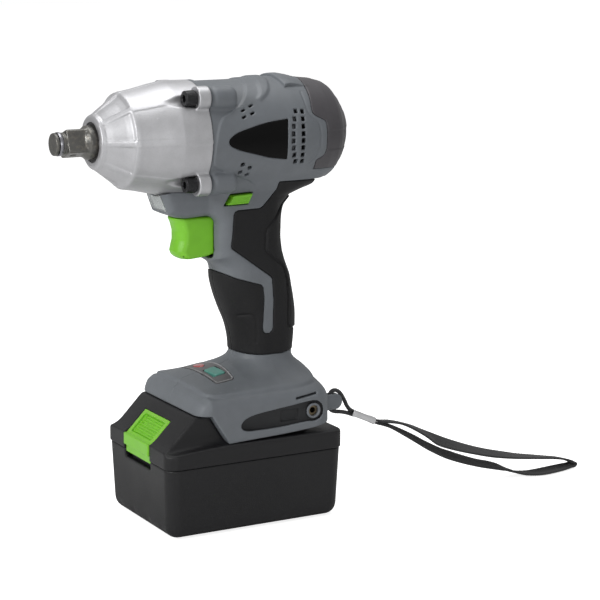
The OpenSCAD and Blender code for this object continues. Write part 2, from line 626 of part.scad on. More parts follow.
module battery_case_lower() color(black_plastic) difference() {
  intersection() {
    plan(0.6, bat_h - 0.05);
    side(-half_w, half_w) foot(half_l);
    translate([-half_l, 0, 0]) rotate([90, 0, 90]) linear_extrude(bat_l) foot(half_w);
  }
  translate([0, 0, 2.4]) plan(5.2, bat_h);
  translate([0, 0, 11]) plan(3, bat_h);
  // notch under the release button's lip
  box(49, 60, -16.1, 16.1, 34.3, bat_h + 1);
}
module battery_case_upper() color(black_plastic) {
  upper_shell();
  // shelf under the release spring
  ramp_frame() box(-5, 5, -31.2, 31.2, -14, -10.5);
}
module upper_shell() difference() {
  union() {
    intersection() {
      side(-half_w, half_w) polygon([[54, bat_h], [54, 47], [53.4, 47.6], [36, 65],
        [26.9, 65], [17.4, 49.6], [-54, 49.6], [-54, bat_h]]);
      translate([0, 0, bat_h]) plan(0, 40);
      union() {
        box(-60, 60, -50, 50, 30, 49.7);
        box(-60, 60, -33.5, 33.5, 30, 70);
      }
    }
    // rails and terminal housing
    box(-38, 20, -26, 26, 49, 58);
    box(-38, 18, -29.6, 29.6, 55.2, 58);
    box(-28.5, 28, -18, 18, 57, 65);
  }
  // cavity
  intersection() {
    side(-half_w + 3, half_w - 3) polygon([[51, bat_h - 1], [51, 46], [50.2, 46.6],
      [34.6, 62.2], [28.6, 62.2], [19.6, 46.5], [-51, 46.5], [-51, bat_h - 1]]);
    translate([0, 0, bat_h - 1]) plan(3, 40);
    union() {
      box(-60, 60, -50, 50, 30, 46.5);
      box(-60, 60, -30.6, 30.6, 30, 70);
    }
  }
  box(-26, 14, -16, 16, 44, 64);
  // terminal slots
  for (y = terminal_ys) box(-40, -22, y - 0.7, y + 0.7, 57.6, 64.6);
  // button way, kept open to the shelf under the spring, and the notch for its lip
  ramp_frame() box(-8.5, 11.5, -16.1, 16.1, -8, 8);
  box(49, 60, -16.1, 16.1, 38, 48);
}
module release_button() color(lime) {
  difference() {
    side(-15.8, 15.8) polygon([[41.2, 59.8], [52.3, 48.7], [54.7, 48.1], [54.7, 42],
      [53.3, 41.5], [53.3, 37.4], [51.6, 37.4], [51.6, 44.6], [49.5, 46.6], [38.8, 57.4]]);
    ramp_frame() box(-6, 5.8, -12.6, 12.6, -1.2, 2.8);
  }
  // ridges across the recess
  ramp_frame() for (i = [0:6]) box(-4.9 + 1.5*i, -4.2 + 1.5*i, -12.7, 12.7, -1.3, -0.4);
}
module release_spring() color([0.7, 0.7, 0.72])
  ramp_frame() rotate([0, -90, 0]) coil_x(-10.4, -3.5, 3, 0.45, 4);
module battery_cells() color([0.2, 0.45, 0.3]) cell_row(cell_r, 65);
module cell_holder() color([0.08, 0.08, 0.08]) difference() {
  box(-48.6, 48.6, -30, 30, 2.6, 36);
  cell_row(cell_r + 0.05, 70);
  box(-60, 60, -24, 24, 2, 12.4);
  box(-46, 46, -27, 27, 24, 40);
}
// board with a pair of contact leaves at each terminal
module battery_board() color([0.1, 0.3, 0.18]) {
  box(-25.6, 13.6, -15.6, 15.6, 44.6, 46.2);
  for (y = terminal_ys, dy = [-1.04, 0.44]) box(-25, -17.4, y + dy, y + dy + 0.6, 46, 63);
}

// ---- wrist strap ----
webbing_outer = [[-83, 49.4], [-91.5, 46], [-104, 42.6], [-122, 34], [-141, 26], [-161, 20],
  [-188, 13.2], [-214, 8], [-223, 5.4], [-227.5, 3], [-226, 1.4], [-216, 0.6], [-202, 0.5],
  [-190, 1.2], [-178, 4], [-161.6, 8.8], [-141.6, 15.2], [-122.2, 25.6], [-104, 34.8],
  [-91.5, 41.4], [-83.6, 45.4]];
webbing_inner = [[-96, 42.6], [-104, 40.8], [-122, 32.4], [-141, 24.4], [-161, 18.4],
  [-188, 11.6], [-214, 6.4], [-222.5, 3.8], [-224.5, 2.8], [-216, 2.2], [-202, 2.1],
  [-190, 2.8], [-178, 5.6], [-161.6, 10.4], [-141.6, 16.8], [-122.2, 27.2], [-104, 36.6],
  [-96, 40.6]];
module at_eye() translate([eye_x, strap_y, eye_z]) children();
module strap_cord() color([0.06, 0.06, 0.06])
  at_eye() rotate([90, 0, 0]) rotate_extrude() translate([7, 0]) circle(r = 1, $fn = 24);
module strap_ferrule() color([0.75, 0.75, 0.76]) at_eye()
  rotate([0, -31, 0]) translate([-22, 0, 0]) rotate([0, 90, 0]) cylinder(r = 1.7, h = 13.6);
module strap_webbing() color([0.09, 0.09, 0.1])
  side(strap_y - 4.5, strap_y + 4.5) difference() {
    polygon(webbing_outer);
    polygon(webbing_inner);
  }

hammer_case();
nose_bush();
oil_seal();
anvil();
friction_ring();
hammer();
cam_balls();
hammer_spring();
spring_washer();
spindle();
planet_gear_1();
planet_gear_2();
planet_gear_3();
planet_pins();
ring_gear();
gear_plate();
spindle_bearing();
case_gasket();
case_screws();
stator_ring();
magnets();
rotor_shaft();
rotor_core();
rotor_windings();
commutator();
cooling_fan();
pinion();
rotor_bearings();
brush_holder();
carbon_brushes();
housing_left();
housing_right();
grip_left();
grip_right();
rear_cap();
housing_screws();
badge_left();
badge_right();
trigger();
trigger_switch();
trigger_spring();
selector();
led_lens();
led_board();
control_panel();
mode_button();
indicator_lens();
control_board();
terminal_block();
hook_inserts();
battery_case_lower();
battery_case_upper();
release_button();
release_spring();
battery_cells();
cell_holder();
battery_board();
strap_cord();
strap_ferrule();
strap_webbing();
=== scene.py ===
# Cordless impact wrench standing on its battery, with a wrist strap lying behind it.
# Shapes are signed distance fields in millimetres, negative inside. +X points to the square
# drive, +Y to the tool's left, +Z up; z = 0 is the battery's foot. The stage is in metres.
import json
import math
from functools import partial

import bpy
import numpy as np
from mathutils import Matrix, Vector


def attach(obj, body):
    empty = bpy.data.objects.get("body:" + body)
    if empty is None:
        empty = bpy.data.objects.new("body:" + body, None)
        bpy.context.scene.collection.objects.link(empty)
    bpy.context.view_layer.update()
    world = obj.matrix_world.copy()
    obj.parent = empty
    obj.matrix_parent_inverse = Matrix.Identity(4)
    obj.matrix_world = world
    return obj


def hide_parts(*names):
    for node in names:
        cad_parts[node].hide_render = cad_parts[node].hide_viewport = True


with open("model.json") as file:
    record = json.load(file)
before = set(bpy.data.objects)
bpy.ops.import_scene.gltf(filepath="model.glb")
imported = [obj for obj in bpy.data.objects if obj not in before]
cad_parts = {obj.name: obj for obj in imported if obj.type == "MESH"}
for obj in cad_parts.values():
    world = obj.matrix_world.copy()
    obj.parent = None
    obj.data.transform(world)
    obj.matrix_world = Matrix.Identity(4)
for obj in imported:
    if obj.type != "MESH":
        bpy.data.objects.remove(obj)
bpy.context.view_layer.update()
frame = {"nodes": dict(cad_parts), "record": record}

# ---------------------------------------------------------------- shared dimensions, mm
AXIS_Z = 211.0                  # height of the spindle axis
ARC_RADIUS = 29.6               # radius at which the head is unrolled
WALL = 2.5                      # housing wall
SEAM = 0.03                     # each half stops this far from y = 0
CASE_SCREW = 22.63              # hammer case screws: |y| and |z - AXIS_Z|
STRAP_Y = 22
HOUSING_CELL = 0.55             # mesh cell of the housing and its rubber
TRIGGER_MIDDLE = (18, 0, 157.1)
BASE_BOSS = (-35.6, 61.4)       # x, z of the screw boss in the base recess
MODE_BUTTON = (10.2, 7.5)       # x, y on the control panel
INDICATOR = (10.9, -10)         # x, y on the control panel
HANDLE_SCREWS = [(-23.5, 166.5), (-12, 139), (-30.0, 98), (-13.8, 98)]     # x, z
CAP_SCREWS = [(14, 14), (-14, -14)]                                       # y, z - AXIS_Z
SIDES = [("left", 1), ("right", -1)]


# ---------------------------------------------------------------- fields
def union(a, b, blend=None):
    """Both shapes together, with a fillet about as wide as blend."""
    if blend is None:
        return np.minimum(a, b)
    h = np.maximum(blend - np.abs(a - b), 0.0) / blend
    return np.minimum(a, b) - h * h * blend * 0.25


def both(a, b, blend=None):
    """What the two shapes have in common."""
    return -union(-a, -b, blend)


def cut(body, tool, blend=None):
    return both(body, -tool, blend)


def slab(v, low, high):
    return np.maximum(low - v, v - high)


def around(v, middle, half):
    return np.abs(v - middle) - half


def disc(u, v, radius):
    return np.hypot(u, v) - radius


def rect(u, v, half_u, half_v, r):
    a, b = np.abs(u) - half_u + r, np.abs(v) - half_v + r
    outside = np.sqrt(np.maximum(a, 0) ** 2 + np.maximum(b, 0) ** 2)
    return outside + np.minimum(np.maximum(a, b), 0) - r


def box(x, y, z, middle, half, r=0.0):
    a, b, c = (np.abs(v - m) - h + r for v, m, h in zip((x, y, z), middle, half))
    outside = np.sqrt(np.maximum(a, 0) ** 2 + np.maximum(b, 0) ** 2 + np.maximum(c, 0) ** 2)
    return outside + np.minimum(np.maximum(np.maximum(a, b), c), 0) - r


def turn(u, v, cos, sin):
    return u * cos - v * sin, u * sin + v * cos


def hexagon(u, v, half_flats, first=0):
    flats = [np.abs(u * math.cos(first + a) + v * math.sin(first + a))
             for a in (0, 1.0472, 2.0944)]
    return np.max(flats, axis=0) - half_flats


def smoothstep(t):
    t = np.clip(t, 0.0, 1.0)
    return t * t * (3 - 2 * t)


def bell(v, width):
    return np.exp(-(v / width) ** 2)


def spline(points, steps, closed=False):
    """Catmull-Rom through the points."""
    p = np.array(points, float)
    count = len(p)
    out = []
    for i in range(count if closed else count - 1):
        p0 = p[(i - 1) % count] if closed or i > 0 else p[i]
        p1 = p[i]
        p2 = p[(i + 1) % count]
        p3 = p[(i + 2) % count] if closed or i + 2 < count else p2
        for j in range(steps):
            t = j / steps
            out.append(0.5 * ((2 * p1) + (p2 - p0) * t + (2 * p0 - 5 * p1 + 4 * p2 - p3) * t * t
                              + (3 * p1 - p0 - 3 * p2 + p3) * t ** 3))
    if not closed:
        out.append(p[-1])
    return np.array(out)


def mirrored(profile):
    """Closes a profile with its mirror image across v = 0."""
    return profile + [(u, -v) for u, v in profile[::-1]]


class Outline:
    """Distance to a flat outline, signed if closed, kept on a grid and read bilinearly."""

    def __init__(self, points, cell, pad=7.0, closed=True):
        p = np.array(points, float)
        low, high = p.min(0) - pad, p.max(0) + pad
        nu, nv = int((high[0] - low[0]) / cell) + 2, int((high[1] - low[1]) / cell) + 2
        u = (low[0] + cell * np.arange(nu))[:, None]
        v = (low[1] + cell * np.arange(nv))[None, :]
        nearest = np.full((nu, nv), 1e9)
        inside = np.zeros((nu, nv), bool)
        starts, ends = (p, np.roll(p, -1, 0)) if closed else (p[:-1], p[1:])
        for a, b in zip(starts, ends):
            e = b - a
            t = np.clip(((u - a[0]) * e[0] + (v - a[1]) * e[1]) / max(e @ e, 1e-12), 0, 1)
            gap = (u - a[0] - t * e[0]) ** 2 + (v - a[1] - t * e[1]) ** 2
            nearest = np.minimum(nearest, gap)
            if closed and a[1] != b[1]:
                level = (v >= min(a[1], b[1])) & (v < max(a[1], b[1]))
                inside ^= level & (u < a[0] + (v - a[1]) * e[0] / e[1])
        distance = np.sqrt(nearest)
        self.grid = np.where(inside, -distance, distance).astype(np.float32)
        self.low, self.cell, self.size = low, cell, (nu, nv)

    def __call__(self, u, v):
        a = (u - self.low[0]) / self.cell
        b = (v - self.low[1]) / self.cell
        a_in = np.clip(a, 0, self.size[0] - 1.001)
        b_in = np.clip(b, 0, self.size[1] - 1.001)
        i = a_in.astype(np.int32)
        j = b_in.astype(np.int32)
        fa, fb = a_in - i, b_in - j
        g = self.grid
        near = (g[i, j] * (1 - fa) + g[i + 1, j] * fa) * (1 - fb)
        far = (g[i, j + 1] * (1 - fa) + g[i + 1, j + 1] * fa) * fb
        return near + far + np.hypot(a - a_in, b - b_in) * self.cell


# ---------------------------------------------------------------- meshing
def skin(field, low, high, cell, reach):
    """Meshes a field's zero level in a box: one vertex per crossed cell, pulled onto the
    surface. reach widens the band of cells kept, for fields that overstate distance."""
    low, high = np.array(low, float), np.array(high, float)
    levels = 3
    count = np.ceil((high - low) / (cell * 2 ** levels)).astype(int)
    corners = np.array([[i, j, k] for i in (0, 1) for j in (0, 1) for k in (0, 1)])
    axes = [np.arange(n) for n in count]
    cells = np.stack(np.meshgrid(*axes, indexing="ij"), -1).reshape(-1, 3)
    for level in range(levels, -1, -1):
        size = cell * 2 ** level
        centres = low + (cells + 0.5) * size
        cells = cells[np.abs(field(*centres.T)) < size * 0.87 * reach + 0.02]
        if level:
            cells = (cells[:, None, :] * 2 + corners[None]).reshape(-1, 3)
    span = (count * 2 ** levels + 2).astype(np.int64)

    def key(c):
        return (c[:, 0] * span[1] + c[:, 1]) * span[2] + c[:, 2]

    # sample every grid point once
    keys = np.stack([key(cells + c) for c in corners], 1)
    unique, back = np.unique(keys, return_inverse=True)
    back = back.reshape(keys.shape)
    grid = np.stack([unique // (span[1] * span[2]), (unique // span[2]) % span[1],
                     unique % span[2]], 1)
    value = field(*(low + grid * cell).T)
    value = np.where(value == 0, 1e-6, value)[back]
    inside = value < 0
    crossed = inside.any(1) & ~inside.all(1)
    cells, value, inside, keys = cells[crossed], value[crossed], inside[crossed], keys[crossed]

    # each vertex is the mean of its cell's edge crossings
    total, hits = np.zeros((len(cells), 3)), np.zeros(len(cells))
    for a in range(8):
        for b in range(a + 1, 8):
            if np.abs(corners[a] - corners[b]).sum() == 1:
                m = inside[:, a] != inside[:, b]
                t = value[m, a] / (value[m, a] - value[m, b])
                total[m] += corners[a] + t[:, None] * (corners[b] - corners[a])
                hits[m] += 1
    vertices = low + (cells + total / hits[:, None]) * cell
    order = np.argsort(keys[:, 0])
    sorted_keys = keys[order, 0]

    def find(c):
        wanted = key(c)
        at = np.minimum(np.searchsorted(sorted_keys, wanted), len(sorted_keys) - 1)
        return np.where(sorted_keys[at] == wanted, order[at], -1)

    # a quad joins the four cells round every crossed grid edge
    quads = []
    for axis in range(3):
        end = 1 << (2 - axis)
        m = np.nonzero(inside[:, 0] != inside[:, end])[0]
        e1, e2 = np.eye(3, dtype=int)[[i for i in range(3) if i != axis]]
        base = cells[m]
        quad = np.stack([m, find(base - e1), find(base - e1 - e2), find(base - e2)], 1)
        keep = inside[m, 0] if axis != 1 else ~inside[m, 0]
        found = (quad >= 0).all(1)
        quads.append(np.where(keep[:, None], quad, quad[:, ::-1])[found])

    # one Newton step along the gradient
    e = 0.2 * cell
    x, y, z = vertices.T
    here = field(x, y, z)
    slope = np.stack([field(x + e, y, z) - here, field(x, y + e, z) - here,
                      field(x, y, z + e) - here], 1) / e
    move = -here[:, None] * slope / np.maximum((slope * slope).sum(1), 0.25)[:, None]
    length = np.linalg.norm(move, axis=1)
    move *= np.minimum(1, 0.6 * cell / np.maximum(length, 1e-9))[:, None]
    return vertices + move, np.concatenate(quads)


def add_quads(piece, vertices, quads, finish, body="housing", part=None, slot=None):
    """Adds <piece>_skin in place of the CAD part, which has the piece's name by default."""
    name = piece + "_skin"
    mesh = bpy.data.meshes.new(name)
    mesh.vertices.add(len(vertices))
    mesh.vertices.foreach_set("co", (vertices * 0.001).astype(np.float32).ravel())
    mesh.loops.add(len(quads) * 4)
    mesh.loops.foreach_set("vertex_index", quads.astype(np.int32).ravel())
    mesh.polygons.add(len(quads))
    mesh.polygons.foreach_set("loop_start", (np.arange(len(quads)) * 4).astype(np.int32))
    mesh.polygons.foreach_set("use_smooth", np.full(len(quads), True))
    mesh.update(calc_edges=True)
    mesh.validate()
    obj = bpy.data.objects.new(name, mesh)
    bpy.context.scene.collection.objects.link(obj)
    mesh.materials.append(MATERIALS[finish])
    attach(obj, body)
    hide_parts(part or piece)
    return mesh


def add_solid(piece, field, low, high, cell, finish, reach=1.5, **fit):
    return add_quads(piece, *skin(field, low, high, cell, reach), finish, **fit)


def add_sides(piece, field, low, high, cell, finish, reach=1.5):
    """Left and right pieces; the box is given for the left one and mirrored for the right."""
    meshes = []
    for name, side in SIDES:
        y0, y1 = (low[1], high[1]) if side > 0 else (-high[1], -low[1])
        meshes.append(add_solid(f"{piece}_{name}", partial(field, side=side),
                                [low[0], y0, low[2]], [high[0], y1, high[2]],
                                cell, finish, reach))
    return meshes


def face_centres(mesh):
    centres = np.zeros(len(mesh.polygons) * 3, np.float32)
    mesh.polygons.foreach_get("center", centres)
    return (centres.reshape(-1, 3).astype(float) * 1000).T


def paint(mesh, index, *finishes):
    for finish in finishes:
        mesh.materials.append(MATERIALS[finish])
    mesh.polygons.foreach_set("material_index", index.astype(np.int32))


# ---------------------------------------------------------------- materials
def fill(tree, node, inputs):
    """Sets each input, or links it when the value is another node's socket."""
    for name, value in inputs.items():
        if isinstance(value, bpy.types.NodeSocket):
            tree.links.new(value, node.inputs[name])
        else:
            node.inputs[name].default_value = value


def add_node(tree, kind, inputs, **settings):
    node = tree.nodes.new("ShaderNode" + kind)
    for name, value in settings.items():
        setattr(node, name, value)
    fill(tree, node, inputs)
    return node


def material(name, colour, rough, metal=0.0, grain=2500.0, bump=4e-5, vary=0.06, smudge=0.08,
             spots=None, edge=None, brushed=None, wave=None, coat=0.0, trans=0.0, spec=0.5,
             ior=1.5, sheen=0.0):
    """grain: fine noise scale; bump: relief in metres; vary: tone variation;
    smudge: slow roughness variation; spots: (strength, colour, scale);
    edge: (strength, colour) of worn edges; brushed: noise scale along x, y, z;
    wave: (direction, scale, distortion) of bands that replace the grain's relief."""
    mat = bpy.data.materials.new(name)
    mat.use_nodes = True
    tree = mat.node_tree
    position = add_node(tree, "TexCoord", {}).outputs["Object"]

    def noise(scale, detail=2.0, roughness=0.5, vector=position):
        inputs = {"Scale": scale, "Detail": detail, "Roughness": roughness, "Vector": vector}
        return add_node(tree, "TexNoise", inputs).outputs["Fac"]

    def ramp(factor, *stops):
        node = add_node(tree, "ValToRGB", {0: factor})
        for element, (place, tone) in zip(node.color_ramp.elements, stops):
            element.position = place
            element.color = (tone, tone, tone, 1)
        return node.outputs[0]

    def mix(factor, a, b, blend="MIX"):
        inputs = {"Factor": factor, "A": a, "B": b}
        node = add_node(tree, "Mix", inputs, data_type="RGBA", blend_type=blend)
        return node.outputs["Result"]

    fine = noise(grain)
    medium = noise(grain * 0.06 + 30, 3.0)
    slow = noise(22.0)
    tone = ramp(medium, (0.3, 1 - vary), (0.7, 1 + vary * 0.6))
    base = mix(1.0, (*colour, 1), tone, "MULTIPLY")
    if spots:
        strength, spot_colour, scale = spots
        factor = ramp(noise(scale, 4.0), (0.5, 0.0), (0.68, strength))
        base = mix(factor, base, (*spot_colour, 1))
    if edge:
        strength, edge_colour = edge
        pointiness = add_node(tree, "NewGeometry", {}).outputs["Pointiness"]
        factor = ramp(pointiness, (0.53, 0.0), (0.62, strength))
        base = mix(factor, base, (*edge_colour, 1))
    smudges = ramp(slow, (0.35, max(rough - smudge, 0.03)), (0.65, min(rough + smudge, 1.0)))
    roughness = add_node(tree, "Math", {0: fine, 1: 0.12 * rough, 2: smudges},
                         operation="MULTIPLY_ADD")
    height = fine
    if brushed:
        mapping = add_node(tree, "Mapping", {"Scale": brushed, "Vector": position})
        height = noise(1.0, 3.0, 0.6, mapping.outputs["Vector"])
    if wave:
        direction, scale, distortion = wave
        bands = {"Scale": scale, "Distortion": distortion, "Detail": 1.0, "Vector": position}
        height = add_node(tree, "TexWave", bands, wave_type="BANDS",
                          bands_direction=direction).outputs["Fac"]
    relief = add_node(tree, "Bump", {"Strength": 1.0, "Distance": bump, "Height": height})
    fill(tree, tree.nodes["Principled BSDF"], {
        "Base Color": base, "Roughness": roughness.outputs[0], "Metallic": metal,
        "Specular IOR Level": spec, "Coat Weight": coat, "Transmission Weight": trans,
        "IOR": ior, "Sheen Weight": sheen, "Normal": relief.outputs["Normal"]})
    return mat


FINISHES = {
    "cast_aluminium": dict(
        colour=(0.50, 0.50, 0.515), rough=0.46, metal=0.8, grain=1900, bump=7e-5,
        spots=(0.35, (0.42, 0.42, 0.43), 1500), edge=(0.4, (0.68, 0.68, 0.69))),
    "sintered_bronze": dict(
        colour=(0.5, 0.33, 0.16), rough=0.45, metal=1.0, grain=3000, bump=6e-5, vary=0.15,
        spots=(0.6, (0.2, 0.13, 0.07), 2500)),
    "black_rubber": dict(colour=(0.018, 0.018, 0.019), rough=0.6, grain=2600, vary=0.1),
    "phosphated_steel": dict(
        colour=(0.13, 0.128, 0.12), rough=0.38, metal=0.8, grain=3000, vary=0.14,
        spots=(0.5, (0.22, 0.2, 0.17), 500), edge=(0.6, (0.4, 0.39, 0.37))),
    "ground_steel": dict(
        colour=(0.45, 0.45, 0.46), rough=0.24, metal=1.0, grain=3000, bump=1e-5,
        brushed=(4000, 120, 120)),
    "spring_steel": dict(
        colour=(0.28, 0.28, 0.3), rough=0.3, metal=1.0, grain=3000, bump=2e-5, vary=0.1,
        spots=(0.4, (0.14, 0.14, 0.15), 900)),
    "chrome_steel": dict(
        colour=(0.62, 0.62, 0.64), rough=0.12, metal=1.0, grain=3000, bump=4e-6, vary=0.04,
        brushed=(3000, 200, 200)),
    "black_screw": dict(
        colour=(0.02, 0.02, 0.022), rough=0.33, metal=0.6, grain=3500, bump=3e-5, vary=0.12,
        spots=(0.4, (0.06, 0.06, 0.06), 1200), edge=(0.5, (0.16, 0.16, 0.16))),
    "sintered_steel": dict(
        colour=(0.3, 0.29, 0.27), rough=0.4, metal=1.0, grain=3500, bump=5e-5, vary=0.12,
        spots=(0.5, (0.14, 0.13, 0.12), 2600)),
    "dark_nylon": dict(
        colour=(0.035, 0.035, 0.038), rough=0.5, grain=2400, bump=5e-5, vary=0.08),
    "stator_steel": dict(
        colour=(0.3, 0.31, 0.33), rough=0.35, metal=0.9, grain=1500, bump=2e-5, vary=0.08,
        spots=(0.4, (0.2, 0.22, 0.2), 300)),
    "ferrite": dict(
        colour=(0.05, 0.05, 0.055), rough=0.55, metal=0.3, grain=2400, bump=5e-5, vary=0.1),
    "lamination": dict(
        colour=(0.25, 0.26, 0.28), rough=0.38, metal=1.0, grain=2400, bump=1.2e-4, vary=0.1,
        wave=("X", 330.0, 0.0)),
    "copper_wire": dict(
        colour=(0.55, 0.2, 0.07), rough=0.3, metal=0.9, grain=2400, bump=1.6e-4, vary=0.1,
        wave=("DIAGONAL", 420.0, 1.5)),
    "commutator_copper": dict(
        colour=(0.6, 0.3, 0.14), rough=0.3, metal=1.0, grain=2400, bump=2e-5, vary=0.1,
        brushed=(5000, 100, 100)),
    "phenolic": dict(
        colour=(0.2, 0.1, 0.045), rough=0.5, grain=2200, bump=3e-5, vary=0.2,
        spots=(0.4, (0.12, 0.06, 0.03), 700)),
    "carbon": dict(colour=(0.03, 0.03, 0.032), rough=0.45, metal=0.3, vary=0.1),
    "grey_nylon": dict(
        colour=(0.150, 0.163, 0.178), rough=0.47, grain=2200, bump=9e-5, vary=0.05,
        spec=0.45, edge=(0.25, (0.26, 0.275, 0.29)), smudge=0.05),
    "button_teal": dict(
        colour=(0.10, 0.30, 0.25), rough=0.4, grain=1800, bump=3e-5, vary=0.05),
    # painted shade: near-black colour laid on the base recess floor and the vent walls
    "recess_shade": dict(
        colour=(0.028, 0.029, 0.031), rough=0.6, grain=2200, bump=9e-5, vary=0.08, spec=0.3),
    "label_line": dict(
        colour=(0.36, 0.36, 0.37), rough=0.45, grain=1800, bump=2e-5, vary=0.05),
    "grip_rubber": dict(
        colour=(0.0105, 0.0105, 0.0112), rough=0.55, grain=1500, bump=1.3e-4, vary=0.1,
        spec=0.25, smudge=0.05),
    "cap_rubber": dict(
        colour=(0.060, 0.056, 0.062), rough=0.42, grain=1700, bump=6e-5, vary=0.08,
        smudge=0.05),
    "badge_black": dict(
        colour=(0.002, 0.002, 0.002), rough=0.35, grain=1200, bump=1e-5, vary=0.05, spec=0.12),
    "green_plastic": dict(
        colour=(0.19, 0.55, 0.018), rough=0.38, grain=1800, vary=0.05,
        edge=(0.25, (0.32, 0.62, 0.1))),
    "clear_lens": dict(
        colour=(0.86, 0.9, 0.92), rough=0.12, grain=900, bump=1e-5, vary=0.02, trans=0.85,
        ior=1.49),
    "white_board": dict(
        colour=(0.75, 0.74, 0.66), rough=0.4, grain=1500, bump=2e-5, vary=0.05),
    "panel_plastic": dict(colour=(0.03, 0.032, 0.036), rough=0.35, grain=1800, bump=3e-5),
    "panel_label": dict(
        colour=(0.115, 0.112, 0.115), rough=0.4, grain=1800, bump=2e-5, vary=0.05),
    "red_lens": dict(
        colour=(0.42, 0.03, 0.03), rough=0.2, grain=1500, bump=2e-5, vary=0.05, coat=0.5),
    "green_board": dict(
        colour=(0.015, 0.12, 0.05), rough=0.35, grain=900, bump=3e-5, vary=0.1,
        spots=(0.5, (0.03, 0.2, 0.08), 260)),
    "clamp_metal": dict(
        colour=(0.62, 0.62, 0.63), rough=0.3, metal=0.85, grain=2400, bump=3e-5, vary=0.08,
        edge=(0.4, (0.8, 0.8, 0.8))),
    "brass": dict(
        colour=(0.16, 0.13, 0.085), rough=0.4, metal=1.0, grain=2400, bump=3e-5, vary=0.08),
    "battery_plastic": dict(
        colour=(0.0085, 0.0085, 0.0095), rough=0.46, grain=2000, bump=1.1e-4, vary=0.08,
        spec=0.32, edge=(0.3, (0.04, 0.04, 0.043)), smudge=0.05),
    "cell_wrap": dict(
        colour=(0.02, 0.16, 0.1), rough=0.3, grain=800, bump=1e-5, vary=0.04, coat=0.3),
    "cord_nylon": dict(
        colour=(0.018, 0.018, 0.02), rough=0.7, bump=1e-4, vary=0.1,
        wave=("DIAGONAL", 700.0, 0.5), sheen=0.3),
    "webbing_nylon": dict(
        colour=(0.016, 0.016, 0.017), rough=0.75, bump=9e-5, vary=0.12, sheen=0.12),
}
MATERIALS = {name: material(name, **finish) for name, finish in FINISHES.items()}

# CAD parts keep their meshes and get the finish of their slot
part_finish = {s["node"]: s["material_slot"] for s in frame["record"]["subparts"]}
for part, obj in frame["nodes"].items():
    obj.data.materials.clear()
    obj.data.materials.append(MATERIALS[part_finish[part]])
    for polygon in obj.data.polygons:
        polygon.use_smooth = True
    obj.data.set_sharp_from_angle(angle=math.radians(28))

# ---------------------------------------------------------------- outlines of the head
# (x, radius) about the spindle axis
HEAD = Outline(mirrored([
    (21.7, 29.2), (21.2, 29.8), (-30, 29.8), (-38, 29.3), (-46, 28.6), (-54, 27.9),
    (-59.9, 26.4), (-63.6, 24.2), (-66.6, 21.4), (-70.3, 16.6), (-72.8, 11.3), (-74.6, 5.6),
    (-75.2, 0)]), 0.35, 12)
# (x, arc): arc is the height along the unrolled side of the head, 0 level with the axis
SIDE_PANEL = Outline(np.vstack([spline([
    (-7.9, 55), (-7.7, 43.4), (-6.2, 34.4), (-3, 26.6), (1, 20.9), (4.6, 18), (14.3, 12.8),
    (18.3, 6.3), (20.4, -2.7), (20.0, -12.6), (13.3, -16.9), (2.3, -21.5), (-11.6, -29.6),
    (-28.9, -42.7)], 5), [(-29, -60), (-60, -60), (-60, 60), (-8, 60)]]), 0.35)
SIDE_RIB = Outline(np.vstack([
    spline([(-14.6, 60), (-14.3, 42.8), (-12.8, 34), (-11.2, 27.3), (-7.8, 22.0)], 5),
    spline([(-9.6, 19.8), (-15.5, 24.4), (-19.6, 31), (-22.2, 41.5), (-22.6, 60)], 5)]), 0.35)
TOP_PAD = Outline([
    (-27.2, 60), (-27.0, 39.1), (-27.4, 33.9), (-27.9, 29.6), (-30.8, 30.4), (-36, 30.6),
    (-47.5, 30.6), (-47.5, 60)], 0.35)
RIM_LINE = Outline(spline([
    (-36.5, 26), (-36.4, 15), (-38.5, 10.5), (-42.6, 7.2), (-43.6, 2), (-43.7, -7),
    (-41.5, -11.5), (-38.6, -15)], 5), 0.35, closed=False)
REAR_CAP = Outline(np.vstack([spline([
    (-45.3, 60), (-44.6, 50), (-42.9, 42), (-41.7, 36.3), (-41.1, 27.2), (-40.3, 20.4),
    (-39.6, 14.2), (-40.6, 11.6), (-44.9, 9.4), (-47.2, 7.8), (-47.9, 4.8), (-48, -2.8),
    (-48, -8.5), (-46.8, -11.6), (-42.9, -14.0), (-42.6, -16.5)], 4),
    [(-43.0, -60), (-110, -60), (-110, 60)]]), 0.35, 10)
BADGE = Outline(np.vstack([spline([
    (-23.6, 10.0), (-18.8, 9.5), (-9.5, 8.3), (-0.8, 6.3), (6.5, 4.3), (11.0, 2.0),
    (12.5, -0.2), (11.2, -2.6), (5.9, -5), (-3.3, -7.5), (-12.9, -10.1), (-23.4, -11.7)], 5),
    [(-22.9, -6), (-22.7, -1), (-22.9, 5)]]), 0.3)

# ---------------------------------------------------------------- outlines of the handle (x, z)
HANDLE = Outline(np.vstack([
    [(12.6, 188), (12.2, 170), (11.2, 165), (11.2, 150), (13.0, 145.2)],
    spline([(12.4, 143.7), (9.4, 141.2), (8.8, 137.7), (8.3, 130.9), (6.3, 123.2),
            (3.3, 115.1), (-0.2, 107), (-2, 100.7), (-2.9, 95.3), (-3.2, 90.1)], 4),
    [(-3.4, 70), (-42.4, 70)],
    spline([(-42.6, 87.7), (-43.6, 95.7), (-44.1, 101), (-44.2, 105.7), (-44.1, 112.8),
            (-43.1, 120.1), (-41.4, 127.3), (-39.6, 134.6), (-37.4, 141.8), (-35.9, 149),
            (-35.0, 156.1), (-35.4, 165.9), (-36.7, 170.6), (-38.2, 172.9), (-41.2, 176.4),
            (-45.5, 179.8), (-50, 183), (-54, 190)], 4),
    [(-54, 196), (12.6, 196)]]), 0.35)
LAMP_NOSE = Outline([
    (6, 190), (6, 169.6), (11, 169.3), (19.5, 168.8), (28, 168.4), (34.2, 169.3),
    (38.7, 171.3), (42.3, 181.0), (43.2, 185.5), (43, 190)], 0.35)
